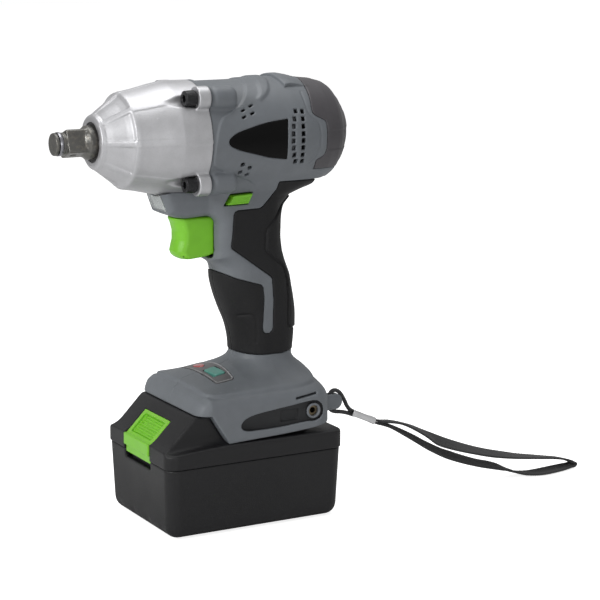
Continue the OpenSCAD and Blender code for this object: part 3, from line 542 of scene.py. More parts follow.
STRIP = Outline([                       # bare plastic left inside the rubber
    (10, 176), (3.0, 169.3), (2.8, 168.6), (3.2, 160), (4.0, 152.2), (3.4, 151.0),
    (-20.4, 133.9), (-21.4, 132.2), (-22.3, 120.9), (-21.9, 105.6), (-21.3, 103.6),
    (-19.5, 102.2), (-17.3, 102.2), (-15.6, 103.6), (-15.3, 105.4), (-16.3, 121.5),
    (-15.6, 128.2), (-14.6, 129.6), (-0.2, 134), (14.9, 140.8), (20, 143), (20, 176)], 0.3)
RUBBER = Outline([
    (-24, 186), (-23.2, 182), (-18.6, 176.9), (-14.6, 172.9), (-12.8, 172.0), (0.3, 171.7),
    (2.0, 171.0), (2.8, 169.2), (4, 151.6), (8, 146), (20, 142), (20, 92.2), (-2.0, 91.4),
    (-11, 90.7), (-27.6, 90.5), (-32.4, 91), (-60, 91.6), (-60, 186)], 0.3)
HEEL = Outline([                        # raised rear panel of the rubber
    (-34, 176.8), (-29.7, 172.6), (-18.4, 160.6), (-17.5, 158.6), (-17.3, 150),
    (-18.0, 148.1), (-29.2, 139.3), (-30.6, 137.2), (-32.4, 130.1), (-32.8, 118.9),
    (-32.2, 105.5), (-34, 103.8), (-60, 103), (-60, 176.8)], 0.3)
PALM_LINE = Outline(spline([
    (-3.0, 113), (-8.6, 113.4), (-11.4, 110.5), (-12.0, 104), (-12.0, 97.5)], 4),
    0.3, closed=False)
SELECTOR_WAY = Outline([(5.3, 181.1), (-8.7, 181.5), (-5.7, 174.8), (8.9, 174.6)], 0.2)
LAMP_WINDOW = Outline([(36.5, 172.9), (40, 171.9), (45, 184), (45, 187), (37, 184.3)], 0.2)

# ---------------------------------------------------------------- outlines of the base
# (x, z)
BASE_SIDE = Outline(np.vstack([
    [(34.7, 65.4), (34.9, 82), (34.9, 96), (-52, 96), (-52.2, 56)],
    spline([(-52, 55), (-48, 53.4), (-39.3, 52.6), (-32.9, 51.8), (-14.1, 50.6), (4.4, 49.9),
            (16.6, 49.3)], 4),
    [(17.0, 49.8), (26.8, 65.4)]]), 0.3)
BASE_RECESS = Outline(spline([
    (9.6, 57.8), (7.6, 61.2), (1.5, 63.4), (-9.5, 64.8), (-21.4, 66), (-35.2, 67.3),
    (-40.2, 65.2), (-41.8, 61.2), (-40.3, 57.4), (-36, 55.7), (-30.9, 55.9), (-15.2, 54.8),
    (0, 54.6), (6.6, 55.2)], 4, closed=True), 0.3)
# (x, y)
DECK_HALF = [
    (28.4, 0), (28.4, 14), (28.0, 26), (26.6, 31.2), (22.0, 33.5), (15, 34), (0, 34),
    (-20, 34), (-33, 33.2), (-41, 28.0), (-45.0, 16), (-46.2, 0)]
DECK = Outline(spline(DECK_HALF + [(x, -y) for x, y in DECK_HALF[-2:0:-1]], 4, closed=True),
               0.3, 10)
PANEL_TOP = Outline([
    (16.3, -20.6), (16.9, 0), (16.3, 20.6), (15.2, 21.9), (6.2, 21.7), (5.0, 20.4), (3.9, 9),
    (3.6, 0), (3.9, -9), (5.0, -20.4), (6.2, -21.7), (15.2, -21.9)], 0.25)


# ---------------------------------------------------------------- outside of the tool
def unroll(y, z):
    """Radius from the spindle axis, and arc height along the head's side."""
    up = z - AXIS_Z
    return np.hypot(y, up), ARC_RADIUS * np.arctan2(up, np.abs(y))


def side_relief(x, arc):
    height = 0.75 * smoothstep((0.7 - SIDE_PANEL(x, arc)) / 1.3)
    rib = smoothstep((0.5 - SIDE_RIB(x, arc)) / 2.2)
    height = height + 0.85 * rib * smoothstep((arc - 17) / 7)
    return height - 0.32 * smoothstep((0.9 - RIM_LINE(x, arc)) / 0.7)


def head(x, y, z):
    radius, arc = unroll(y, z)
    body = HEAD(x - 3.0 * np.clip((-36 - x) / 18, 0, 1), radius)
    lift = np.interp(x, [-47, -44, -36, -32, -28, -27], [0.2, 0.7, 2.1, 2.6, 2.4, 2.2])
    pad = both(body - lift, TOP_PAD(x, arc), 0.9)
    return union(body - side_relief(x, arc), pad, 0.4)


def screw_bulges(x, y, z):
    up = z - AXIS_Z
    bulges = 1e3
    for sign in (1, -1):
        bulges = union(bulges, disc(np.abs(y) - 22.35, up - sign * 22.35, 6.2))
    return both(bulges, slab(x, 5.2, 21.6), 4.5)


def handle(x, y, z):
    """The side outline with the front and rear edges shifted along x by height."""
    t = np.clip((x + 26) / 16, 0, 1)
    front = np.interp(z, [86, 92, 138, 146], [2.6, 1.7, 1.7, 0.0])
    rear = np.interp(z, [70, 85, 105, 120, 133, 147, 160, 168, 173, 178, 183, 190],
                     [3.0, 3.8, 4.0, 3.9, 3.2, 4.4, 4.3, 4.7, 5.4, 5.0, 2.5, 0.5])
    shifted = x + t * front - (1 - t) * rear
    blend = np.interp(z, [100, 140, 152, 170], [17.0, 16.4, 9.0, 8.0])
    rear_blend = np.interp(z, [140, 178, 186], [16.6, 16.4, 9.0])
    blend = blend + np.clip((-6 - x) / 10, 0, 1) * (rear_blend - blend)
    half_width = np.interp(z, [70, 88, 94, 108, 125, 145, 165, 185],
                           [17.2, 16.6, 16.3, 16.2, 16.1, 16.2, 16.9, 17.6])
    return both(HANDLE(shifted, z), np.abs(y) - half_width, blend)


def base_top(x, y):
    """Height of the base's crowned top."""
    middle = np.interp(
        x, [-56, -51, -47, -43, -20, 0, 4, 10.3, 16.4, 24, 28.5, 31.5, 34.8, 40],
        [70, 74.5, 78.6, 82.0, 86.0, 85.0, 84.0, 82.7, 81.3, 79.4, 78.0, 75.6, 70.6, 62])
    edge = np.interp(x, [-52, -46, -41, -34, -10.6, 7.8, 20, 27, 31, 34.8],
                     [70.5, 72.8, 75.4, 76.5, 76.3, 75.8, 75.8, 76.0, 74.2, 69.8])
    u = np.abs(y) / 33.5
    return edge + (middle - edge) * np.where(u < 1, 1 - u * u, 1.5 * (1 - u))


def base(x, y, z):
    corner = np.interp(x, [-25, -5], [12.0, 9.0])
    plan = rect(x + 7.15, y, 41.85, 38.5 - 0.035 * np.maximum(z - 52, 0), corner)
    top = base_top(x, y)
    body = both(plan, z - top + 1.5, 5.5)
    body = union(body, both(DECK(x, y), z - top, 1.6), 0.7)
    return both(body, BASE_SIDE(x, z), 0.8)


def outer(x, y, z):
    """The whole moulded outside of the tool, without the rubber step."""
    top = union(head(x, y, z), screw_bulges(x, y, z), 2.0)
    nose = both(LAMP_NOSE(x, z), np.abs(y) - 13.0 + 0.12 * np.maximum(z - 178, 0), 5.0)
    body = union(top, union(handle(x, y, z), nose, 5.0), 5.0)
    return union(body, base(x, y, z), np.interp(z, [84, 96], [10.0, 4.0]))


def rubber_zone(x, z):
    return cut(RUBBER(x, z), STRIP(x, z))


def cap_zone(x, y, z):
    return both(REAR_CAP(x, unroll(y, z)[1]), 192.4 - z)


# ---------------------------------------------------------------- housing halves
# (x, arc) centres of the holes in the head's sides: two bowed columns, then two small groups
VENTS = ([(-26.2 - 0.0155 * s * s, s) for s in (13.9, 9.7, 5.8, 1.9, -1.8, -5.6, -9.6, -13.4)]
         + [(-32.5 - 0.004 * s * s, s)
            for s in (13.7, 9.6, 5.6, 1.7, -2.0, -5.8, -9.8, -13.6)])
SLITS = [(2.1, 15.8), (-3.1, 18.2), (2.3, 12.1), (-3.0, 13.9)]
SQUARES = [(3, -13.3), (-1.8, -15.5), (3.4, -18.2), (-1.4, -20.3)]
# centres, (cos, sin) of their turn, (half length, half height, corner radius)
HOLE_GROUPS = [(VENTS, (1, 0), (1.25, 1.3, 0.25)),
               (SLITS, (0.91, 0.42), (1.55, 0.62, 0.3)),
               (SQUARES, (0.95, 0.3), (1.2, 1.1, 0.3))]
# middle and half sizes of the boxes that open the base for the battery
BATTERY_MOUTH = [((20.7, 0, 48), (59.3, 26.6, 8)),
                 ((20.7, 0, 57.5), (59.3, 30.2, 2.9)),
                 ((20.7, 0, 57.7), (59.3, 18.6, 7.7))]
PANEL_TILT = math.radians(12.2)
# middle y, half sizes along x and y
PANEL_WINDOWS = [(MODE_BUTTON[1], 4.2, 6.7), (INDICATOR[1], 2.8, 5.4)]


def vents(x, y, z):
    radius, arc = unroll(y, z)
    holes = np.full(x.shape, 9.0)
    near = (x > -38) & (x < 8) & (arc > -25) & (arc < 24) & (radius > 20)
    if not near.any():
        return holes
    u, v = x[near], arc[near]
    nearest = np.full(u.shape, 9.0)
    for centres, (cos, sin), size in HOLE_GROUPS:
        for a, b in centres:
            nearest = union(nearest, rect(*turn(u - a, v - b, cos, sin), *size))
    holes[near] = nearest
    return holes


def recess(x, out_y, z):
    """Recess in the base's side, with its screw boss, a pocket and an inclined slot."""
    floor_y = np.interp(x, [-42, -30, 0, 10], [35.6, 35.2, 34.6, 34.2])
    from_boss = np.hypot(x - BASE_BOSS[0], z - BASE_BOSS[1])
    tool = both(BASE_RECESS(x, z), floor_y - out_y, 1.2)
    tool = cut(tool, both(from_boss - 4.3, out_y - 37.7, 0.6))
    tool = union(tool, both(from_boss - 3.0, 28.0 - out_y))
    pocket = rect(x + 21.7, z - 60.0, 5.4, 3.1, 0.5)
    tool = union(tool, both(pocket, floor_y - 1.1 - out_y))
    slot = rect(*turn(x + 31.1, z - 70.2, 0.992, 0.121), 6.7, 0.65, 0.5)
    return union(tool, both(slot, 33.5 - out_y))


def strap_lug(x, y, z):
    lug = both(disc(np.maximum(-(x + 57.2), 0), z - 60.8, 4.6), around(y, STRAP_Y, 2.9), 1.6)
    lug = both(lug, x + 46.2)
    return cut(lug, rect(x + 54.6, y - STRAP_Y, 1.75, 1.5, 0.6))


def housing_field(x, y, z, side):
    out_y = y * side                                # positive on the half being built
    outside = outer(x, y, z)
    radius, arc = unroll(y, z)
    # seats of the overmould, the rear cap and the badge
    body = cut(outside, both(rubber_zone(x, z) - 0.16, -(outside + 1.7), 0.4), 0.3)
    body = cut(body, both(cap_zone(x, y, z) - 0.16, -(outside + 1.6), 0.4), 0.3)
    body = cut(body, both(BADGE(x, arc) - 0.12, 29.75 - radius), 0.2)
    body = cut(body, vents(x, y, z), 0.25)
    side_recess = recess(x, out_y, z)
    body = cut(body, side_recess, 0.5)
    # cavity, leaving a floor behind the recess
    body = cut(body, both(both(outside + WALL, 54.8 - z), 2.0 - side_recess))
    # bores round the spindle axis, and the case screw holes
    body = cut(body, both(radius - 30.2, 21.6 - x))
    body = cut(body, both(radius - 26.2, around(x, 2, 24)))
    body = cut(body, both(radius - 30.55, slab(x, 37.8, 41.7)))
    for sign in (1, -1):
        hole = disc(np.abs(y) - CASE_SCREW, z - AXIS_Z - sign * CASE_SCREW, 2.1)
        body = cut(body, both(hole, 3.5 - x))
    for middle, half in BATTERY_MOUTH:
        body = cut(body, box(x, y, z, middle, half))
    body = cut(body, box(x, y, z, TRIGGER_MIDDLE, (22, 9.0, 11.6), 1.5), 0.6)
    body = cut(body, SELECTOR_WAY(x, z), 0.4)
    body = cut(body, both(LAMP_WINDOW(x, z), np.abs(y) - 8.7), 0.4)
    # control panel seat and the two windows through it
    body = cut(body, both(PANEL_TOP(x, y) - 0.15, around(z - base_top(x, y), 1.6, 2.5)))
    along, over = turn(x - 10.25, z - 82.55, math.cos(PANEL_TILT), math.sin(PANEL_TILT))
    for middle_y, half_x, half_y in PANEL_WINDOWS:
        window = rect(along, y - middle_y, half_x, half_y, 0.4)
        body = cut(body, both(window, around(over, -4, 8)))
    if side > 0:
        body = union(body, cut(strap_lug(x, y, z), outside + 0.5))
    else:
        for a, b in HANDLE_SCREWS:
            distance = np.hypot(x - a, z - b)
            post = both(both(distance - 4.4, np.abs(y) - 14), outside + 1.9)
            body = union(body, post)
            hole_radius = np.where(y < -11.3, 3.2, 1.6)
            body = cut(body, both(distance - hole_radius, around(y, -20, 32)))
    for a, b in CAP_SCREWS:
        body = cut(body, both(disc(y - a, z - AXIS_Z - b, 3.3), x + 40))
    return both(body, SEAM - out_y, 0.35)


def paint_recess_shade(mesh):
    """Painted shade: a near-black colour on the floor of the base recess and on the walls of
    the vents, where shade falls.
    """
    x, y, z = face_centres(mesh)
    out_y = np.abs(y)
    dark = (BASE_RECESS(x, z) < 0.1) & (out_y < 37.2) & (out_y > 31) & (z < 69)
    dark &= np.hypot(x - BASE_BOSS[0], z - BASE_BOSS[1]) > 4.1
    radius = np.hypot(y, z - AXIS_Z)
    band = (radius < 28.9) & (radius > 20) & (x > -38) & (x < 8) & (np.abs(z - AXIS_Z) < 24)
    dark |= band & (vents(x, y, z) < 0.3)
    # painted shade: the recess floor and the vent walls get the near-black shade colour
    paint(mesh, dark, "recess_shade")


# each housing half gets painted shade in its base recess and vents
for half in add_sides("housing", housing_field, [-77, -1.2, 48.0], [51, 41, 245],
                      HOUSING_CELL, "grey_nylon", reach=1.6):
    paint_recess_shade(half)


# ---------------------------------------------------------------- overmould, rear cap, badges
def grip_field(x, y, z, side):
    outside = outer(x, y, z)
    heel = HEEL(x, z)
    # raised heel panel with a groove round it, and a groove along the palm line
    height = 0.28 + 0.5 * smoothstep((0.35 - heel) / 0.9)
    height = height - 0.42 * bell(heel - 0.6, 0.55) * smoothstep((heel + 1.2) / 0.8)
    height = height - 0.35 * bell(PALM_LINE(x, z), 0.6)
    body = both(outside - height, rubber_zone(x, z), 0.5)
    body = cut(body, outside + 1.66)
    body = cut(body, box(x, y, z, TRIGGER_MIDDLE, (22.2, 9.2, 11.8), 1.5), 0.4)
    body = cut(body, SELECTOR_WAY(x, z) - 0.25, 0.3)
    if side < 0:
        for a, b in HANDLE_SCREWS:
            body = cut(body, disc(x - a, z - b, 3.3), 0.4)
    return both(body, SEAM - y * side, 0.3)


def cap_field(x, y, z):
    outside = outer(x, y, z)
    up = z - AXIS_Z
    # a shallow level band crosses the cap
    height = 0.2 - 0.3 * smoothstep((2.9 - up) / 0.9) * smoothstep((up + 8.6) / 0.9)
    body = both(outside - height, cap_zone(x, y, z), 0.5)
    body = cut(body, outside + 1.56)
    for a, b in CAP_SCREWS:
        body = cut(body, both(disc(y - a, up - b, 3.3), x + 40), 0.4)
    return body


def badge_field(x, y, z, side):
    radius, arc = unroll(y, z)
    plate = both(BADGE(x, arc), outer(x, y, z) + 0.05, 0.25)
    return both(both(plate, 29.78 - radius, 0.1), 10 - y * side)


add_sides("grip", grip_field, [-47, -0.6, 88], [22, 19.5, 189], HOUSING_CELL, "grip_rubber")
add_solid("rear_cap", cap_field, [-77, -31, 190], [-37, 31, 243], HOUSING_CELL, "cap_rubber")
add_sides("badge", badge_field, [-26, 24, 196], [15, 32, 224], 0.4, "badge_black")


# ---------------------------------------------------------------- housing screws
def pan_screw(u, v, depth, length):
    """Screw with a hex socket; depth runs from the face of the head."""
    radius = np.hypot(u, v)
    top = both(radius - 3.0, slab(depth, 0, 2.2), 0.7)
    top = cut(top, both(hexagon(u, v, 1.25), depth - 1.3))
    thread = 0.06 * np.cos(depth * 6.2832 / 0.9)
    return union(top, both(radius - 1.45 - thread, slab(depth, 1.8, length)))


def housing_screw_field(x, y, z):
    """Handle screws with heads toward -Y, rear cap screws with heads toward -X."""
    screws = np.full(np.shape(x), 50.0)
    for a, b in HANDLE_SCREWS:
        screws = union(screws, pan_screw(x - a, z - b, y + 13.6, 22.2))
    for a, b in CAP_SCREWS:
        screws = union(screws, pan_screw(y - a, z - AXIS_Z - b, x + 61.4, 9.4))
    return screws


add_solid("housing_screws", housing_screw_field, [-68, -18, 92], [0, 20, 232], 0.32,
          "black_screw", reach=1.4)

# ---------------------------------------------------------------- hammer case
LUG_FACE = 28.9                         # x of the front of the screw lugs
# (x, radius): the ribs and the skin between them share the rear of the profile
CASE_REAR = [(21.8, 30.3), (31.5, 30.4), (38, 30.2), (45.3, 28.9), (55, 26.7), (60.8, 25.7)]
CASE_RIBS = Outline(mirrored(CASE_REAR + [
    (63.4, 24.9), (77.2, 14.1), (78.2, 12.8)]), 0.25, 9)
CASE_SKIN = Outline(mirrored(CASE_REAR + [
    (63.0, 24.9), (64.0, 23.2), (66.6, 21.2), (72.5, 17.3), (75.7, 15.0), (76.4, 14.9),
    (77.4, 13.9), (78.2, 12.8)]), 0.25, 9)
CASE_BORE = Outline(mirrored([
    (20, 25.2), (52, 25.2), (55.5, 22), (60, 15), (60, 11.5), (74, 11.5), (74, 10.65),
    (80, 10.65)]), 0.2, 6)


def case_field(x, y, z):
    up = z - AXIS_Z
    radius = np.hypot(y, up)
    # eight ribs, one every 45 degrees
    angle = np.degrees(np.arctan2(up, y)) - 1.5
    angle = angle - 45 * np.round(angle / 45)
    rib = np.abs(np.radians(angle) * radius) - np.interp(x, [62, 70, 77], [1.7, 1.35, 1.2])
    body = union(CASE_SKIN(x, radius), both(CASE_RIBS(x, radius), rib, 0.7), 0.9)
    # front ring, and a soft bead behind the ribs
    body = union(body, both(radius - 14.3, around(x, 77.0, 0.9), 0.8), 0.6)
    body = body - 0.22 * bell(x - 62.2, 1.2)
    # screw lugs and the webs that join them to the case
    u, v = np.abs(y) - CASE_SCREW, np.abs(up) - CASE_SCREW
    from_screw = np.hypot(u, v)
    thickness = slab(x, 22.0, LUG_FACE)
    lug = both(from_screw - 6.3, thickness, 0.5)
    web = both(np.abs(u - v) * 0.7071 - 5.2, both(radius - 32.0, thickness), 0.5)
    web = both(web, 24 - radius)
    body = union(body, union(lug, web), 1.6)
    # tapering scallops ahead of the screw heads
    t = np.clip((x - LUG_FACE) / 21.0, 0, 1)
    middle = (32 + 1.5 * t) * 0.70711
    scallop = np.hypot(np.abs(y) - middle, np.abs(up) - middle) - (5.0 - 1.5 * t)
    body = cut(body, both(scallop, LUG_FACE - x, 0.4), 0.8)
    body = cut(body, from_screw - 2.1)
    body = cut(body, CASE_BORE(x, radius))
    return both(body, 21.98 - x)


def case_screw_field(x, y, z):
    u, v = np.abs(y) - CASE_SCREW, np.abs(z - AXIS_Z) - CASE_SCREW
    radius = np.hypot(u, v)
    knurl = 0.09 * np.cos(np.arctan2(v, u) * 30) * smoothstep((33.6 - x) / 0.8)
    top = both(radius - 4.25 - knurl, slab(x, 29.05, 35.2), 0.7)
    top = cut(top, both(hexagon(u, v, 1.85, first=0.3), 31.6 - x))
    return union(top, both(radius - 1.93, slab(x, 10.2, 30)))


add_solid("hammer_case", case_field, [21, -39, 172], [79.5, 39, 250], 0.5, "cast_aluminium")
add_solid("case_screws", case_screw_field, [9, -29, 182], [37, 29, 240], 0.3, "black_screw")

# ---------------------------------------------------------------- anvil
DRIVE_TURN = math.radians(20.0)
DRIVE_HALF = 6.35                       # half the width of the square


def anvil_field(x, y, z):
    up = z - AXIS_Z
    u, v = turn(y, up, math.cos(DRIVE_TURN), -math.sin(DRIVE_TURN))
    radius = np.hypot(y, up)
    square = both(rect(u, v, DRIVE_HALF, DRIVE_HALF, 0.5), radius - 8.35, 0.35)
    body = both(square, slab(x, 82, 93.7), 0.9)
    shaft = np.interp(x, [50, 81.4, 83.6, 84], [8.96, 8.96, 7.2, 6.6])
    body = union(body, both(radius - shaft, slab(x, 55, 84), 0.5), 0.8)
    # round tip with a groove
    tip = both(radius - 6.0, slab(x, 90, 99.9), 0.9)
    tip = cut(tip, both(3.45 - radius, slab(x, 95.6, 98.0)), 0.25)
    body = union(body, tip)
    # rear collar with two ears
    body = union(body, both(radius - 11, slab(x, 44.3, 59.6), 0.4))
    ears = both(np.abs(u) - 6.5, radius - 23.5, 0.6)
    body = union(body, both(ears, slab(x, 44.3, 50.3), 0.5), 1.0)
    # rear bore and the hole across the square
    body = cut(body, both(radius - 4.05, x - 53.4))
    body = cut(body, disc(x - 89.3, u, 1.6), 0.35)
    # turned lines on the shaft
    return body + 0.02 * np.cos(x * 7.0) * smoothstep((82 - x) / 2)


add_solid("anvil", anvil_field, [43, -25, 186], [101, 25, 236], 0.4, "phosphated_steel",
          body="anvil_body")


# ---------------------------------------------------------------- trigger and selector
def trigger_field(x, y, z):
    out_y = np.abs(y)
    middle = np.interp(z, [145.6, 146.6, 147.8, 149.8, 152.1, 155.9, 160.8, 165.6, 168.6],
                       [28.6, 30.0, 31.3, 32.1, 31.6, 30.6, 30.6, 31.9, 33.7])
    front = middle - 4.2 * (np.minimum(out_y, 9) / 8.5) ** 2.6
    bottom = np.interp(x, [11, 16, 23, 28], [147.6, 146.4, 145.8, 145.3])
    body = both(both(x - front, out_y - 8.5, 1.2), both(z - 168.2, bottom - z, 0.3), 1.6)
    rear = 10.6 - x - 1.8 * np.maximum((np.abs(z - 157) - 6.5) / 4, 0) ** 2
    body = both(body, rear, 0.8)
    hollow = box(x, y, z, (14, 0, 156.9), (12.5, 6.7, 8.9), 0.8)
    body = cut(body, both(hollow, x - (front - 3.2), 0.8))
    # block inside the shell and the rod running back from it
    block = both(box(x, y, z, (17.5, 0, 157), (10.5, 3, 3), 0.3), x - front + 0.8)
    rod = both(disc(y, z - 157, 2.0), slab(x, -3, 9), 0.2)
    return union(body, union(block, rod))


SELECTOR = Outline([(3.9, 180.4), (-8.0, 180.8), (-5.2, 175.4), (7.3, 175.2)], 0.15)  # x, z


def selector_field(x, y, z):
    out_y = np.abs(y)
    side = SELECTOR(x, z)
    body = both(side + 0.08, out_y - 19.2, 1.0)
    # grip lines in the rear half of each end
    lines = 0.5 + 0.5 * np.cos((x * 0.45 + (z - 178)) / 1.05 * 6.2832)
    inset = smoothstep((1.5 - x) / 1.5) * smoothstep((-side - 0.9) / 0.5)
    body = body + 0.28 * smoothstep((out_y - 18.2) / 0.9) * lines * inset
    # sunk middle, which leaves a rim round the end face
    return body + 0.22 * smoothstep((out_y - 18.4) / 0.7) * smoothstep((-side - 0.75) / 0.3)


add_solid("trigger", trigger_field, [-4, -9.2, 144], [35, 9.2, 169.2], 0.4, "green_plastic",
          body="trigger_body")
add_solid("selector", selector_field, [-10, -20, 174], [10, 20, 182], 0.33, "green_plastic",
          reach=1.6, body="selector_body")


# ---------------------------------------------------------------- control panel
def ellipse(x, y, half_x, half_y):
    u, v = (x - INDICATOR[0]) / half_x, (y - INDICATOR[1]) / half_y
    return np.hypot(u, v) * half_x - half_x


def panel_field(x, y, z):
    over = z - base_top(x, y)
    plan = PANEL_TOP(x, y)
    body = both(plan, over - 0.28, 0.3)
    body = cut(body, over + 0.8)
    # sunk label field with a fine rim
    body = cut(body, both(plan + 0.75, 0.12 - over))
    window = rect(x - MODE_BUTTON[0], y - MODE_BUTTON[1], 4.0, 6.5, 0.8)
    body = cut(body, both(window, -(over + 5)))
    return cut(body, both(ellipse(x, y, 2.55, 5.2), -(over + 5)))


def mode_button_field(x, y, z):
    over = z - base_top(x, y)
    u = (x - MODE_BUTTON[0]) + 0.14 * (y - 8.5)         # sheared in plan
    v = y - 7.9
    key = cut(both(rect(u, v, 3.1, 5.6, 1.0), over - 0.75, 0.5), over + 1.9)
    flange = rect(x - MODE_BUTTON[0], y - MODE_BUTTON[1], 3.8, 6.3, 0.8)
    key = union(key, both(flange, around(over, -1.5, 0.5), 0.2))
    # finger dip in the top
    return key + 0.18 * bell(np.hypot(u, v * 0.6), 1.6) * (over > 0)


def indicator_field(x, y, z):
    over = z - base_top(x, y)
    plan = ellipse(x, y, 2.4, 5.05)
    lens = both(plan, over - 0.55 + 0.06 * np.maximum(plan + 2.4, 0), 0.4)
    return cut(lens, over + 1.2)


def paint_panel(mesh):
    """Label finish on the top face, with a light line just inside its edge."""
    x, y, z = face_centres(mesh)
    plan = PANEL_TOP(x, y)
    top = z > base_top(x, y) - 0.1
    line = top & (plan > -0.95) & (plan < -0.4)
    paint(mesh, np.where(line, 2, np.where(top, 1, 0)), "panel_label", "label_line")


paint_panel(add_solid("control_panel", panel_field, [2.5, -23, 73], [18, 23, 86], 0.33,
                      "panel_plastic", reach=1.7))
add_solid("mode_button", mode_button_field, [5, -0.5, 77], [15, 15.5, 86], 0.3, "button_teal",
          body="mode_key", slot="green_plastic")
add_solid("indicator_lens", indicator_field, [7.5, -16, 77], [14.5, -4, 86], 0.28, "red_lens",
          reach=1.6)


# ---------------------------------------------------------------- battery
def release_axes(x, z):
    """Axes of the release button: down its 45 degree slope, and out of the slope."""
    dx, dz = x - 47, z - 54
    return (dx - dz) * 0.70711, (dx + dz) * 0.70711


def battery_lower_field(x, y, z):
    # the walls draw in toward the foot
    depth = np.clip(39 - z, 0, 40)
    half_x, half_y = 53.6 - 0.040 * depth, 39.7 - 0.036 * depth
    body = both(rect(x, y, half_x, half_y, 7.0), -z, 7.5)
    # shallow dips along the foot of both ends
    for middle in (-27.0, -9.0, 9.0, 27.0):
        for end in (54.4, -54.4):
            dip = np.sqrt((x - end) ** 2 * 1.2 + (y - middle) ** 2 * 0.36
                          + (z + 0.5) ** 2 * 0.3) - 4.0
            body = cut(body, dip, 1.2)
    body = both(body, z - 38.85, 0.7)
    body = cut(body, both(rect(x, y, half_x - 2.8, half_y - 2.8, 4.5), 2.5 - z, 3.0))
    return cut(body, box(x, y, z, (56, 0, 40.3), (7.2, 16.2, 6.0), 0.4), 0.3)


def battery_upper_field(x, y, z):
    out_y = np.abs(y)
    plan = rect(x, y, 54.1, 40.05, 6.5)
    top = np.interp(x, [-54, 17.4, 30, 42, 54], [49.2, 49.2, 48.7, 47.9, 46.9])
    # hump in front of the tool's base, between a front slope and a rear slope
    rear = ((17.4 - x) * 15.4 - (49.6 - z) * 9.5) / 18.1
    front = (x + z - (101.3 - 1.2 * (out_y / 33.0) ** 2)) * 0.7071
    hump = both(both(front, z - 65.0, 1.2),
                both(out_y - 33.3 - 0.02 * (z - 50), rear, 0.4), 1.4)
    body = union(both(plan, z - top, 2.2), hump, 5.0)
    body = both(body, union(rear, z - 49.2))
    body = both(body, both(plan, 39.05 - z, 0.7), 0.3)
    # hollow
    low = both(rect(x, y, 51.0, 37.0, 4.0), z - 46.0)
    high = both(both((x + z - 96.8) * 0.7071, z - 62.2),
                both(out_y - 30.6, both(rear + 3.2, x - 51.0)))
    body = cut(body, union(low, high))
    # rails and the slotted contact tower
    for middle, half, corner in [((-9, 0, 53.5), (29, 26, 4.5), 0.3),
                                 ((-10, 0, 56.6), (28, 29.6, 1.4), 0.3),
                                 ((-0.25, 0, 60.9), (28.25, 18, 4.05), 0.5)]:
        body = union(body, box(x, y, z, middle, half, corner))
    body = cut(body, box(x, y, z, (-6, 0, 54), (20, 16, 10)))
    slots = union(np.abs(out_y - 4), np.abs(out_y - 12)) - 0.7
    body = cut(body, both(slots, both(around(x, -31, 9), around(z, 61.6, 4))))
    # shelf under the release button, the button's way and the notch of its lip
    down, out = release_axes(x, z)
    shelf = both(both(np.abs(down) - 5, around(out, -12.25, 1.75)), out_y - 31.0)
    body = union(body, shelf)
    way = both(both(around(down, 1.5, 10.0), np.abs(out) - 8), out_y - 16.1)
    notch = box(x, y, z, (55, 0, 43), (6, 16.1, 5.2))
    return cut(body, union(way, notch), 0.35)


RIB_PITCH = 1.7                         # seven ribs across the release button


def release_field(x, y, z):
    out_y = np.abs(y)
    down, out = release_axes(x, z)
    plate = both(around(down, -0.2, 8.0), around(out, -1.7, 1.72))
    lip = rect(x - 53.0, z - 45.0, 1.75, 3.3, 0.5)
    tab = rect(x - 52.4, z - 40.6, 0.8, 3.2, 0.3)
    body = union(union(plate, lip, 0.8), tab)
    body = both(body, out_y - 15.7, 0.9)
    dish = both(rect(down - 0.1, y, 6.2, 12.6, 1.0), -1.5 - out, 0.3)
    body = cut(body, dish, 0.45)
    k = down / RIB_PITCH
    k = k - np.clip(np.round(k), -3, 3)
    ribs = both(disc(k * RIB_PITCH, out + 1.45, 0.62), out_y - 11.6, 0.4)
    return union(body, ribs, 0.25)


add_solid("battery_lower", battery_lower_field, [-55, -41, -1], [55, 41, 40.5], 0.75,
          "battery_plastic", body="battery", part="battery_case_lower")
add_solid("battery_upper", battery_upper_field, [-56, -42, 37.5], [56, 42, 66.5], 0.6,
          "battery_plastic", body="battery", part="battery_case_upper")
add_solid("release_button", release_field, [37, -17, 36.5], [56, 17, 61.5], 0.33,
          "green_plastic", reach=1.6, body="release_key")


# ---------------------------------------------------------------- wrist strap
def even_stations(path, spacing):
    """Respaces a path evenly; returns its stations, their lengths along it and tangents."""
    steps = np.linalg.norm(np.diff(path[:, :3], axis=0), axis=1)
    s = np.r_[0, np.cumsum(steps)]
    along = np.linspace(0, s[-1], int(s[-1] / spacing) + 2)
    stations = np.stack([np.interp(along, s, column) for column in path.T], 1)
    tangents = np.gradient(stations[:, :3], axis=0)
    return stations, along, tangents / np.linalg.norm(tangents, axis=1)[:, None]


def add_sweep(piece, rings, finish):
    """Joins the rings with quads and closes both ends with fans of quads."""
    rings = np.stack(rings)
    count, size = rings.shape[:2]
    i, j = np.meshgrid(np.arange(count - 1), np.arange(size), indexing="ij")
    a, b = i * size + j, i * size + (j + 1) % size
    sides = np.stack([a, b, b + size, a + size], -1).reshape(-1, 4)
    vertices = np.vstack([rings.reshape(-1, 3), rings[0].mean(0), rings[-1].mean(0)])
    first = count * size
    last_ring = (count - 1) * size
    k = np.arange(0, size, 2)
    k1, k2 = (k + 1) % size, (k + 2) % size
    start = np.stack([np.full(len(k), first), k2, k1, k], 1)
    end = np.stack([np.full(len(k), first + 1), last_ring + k, last_ring + k1,
                    last_ring + k2], 1)
    add_quads(piece, vertices, np.vstack([sides, start, end]), finish, body="strap")


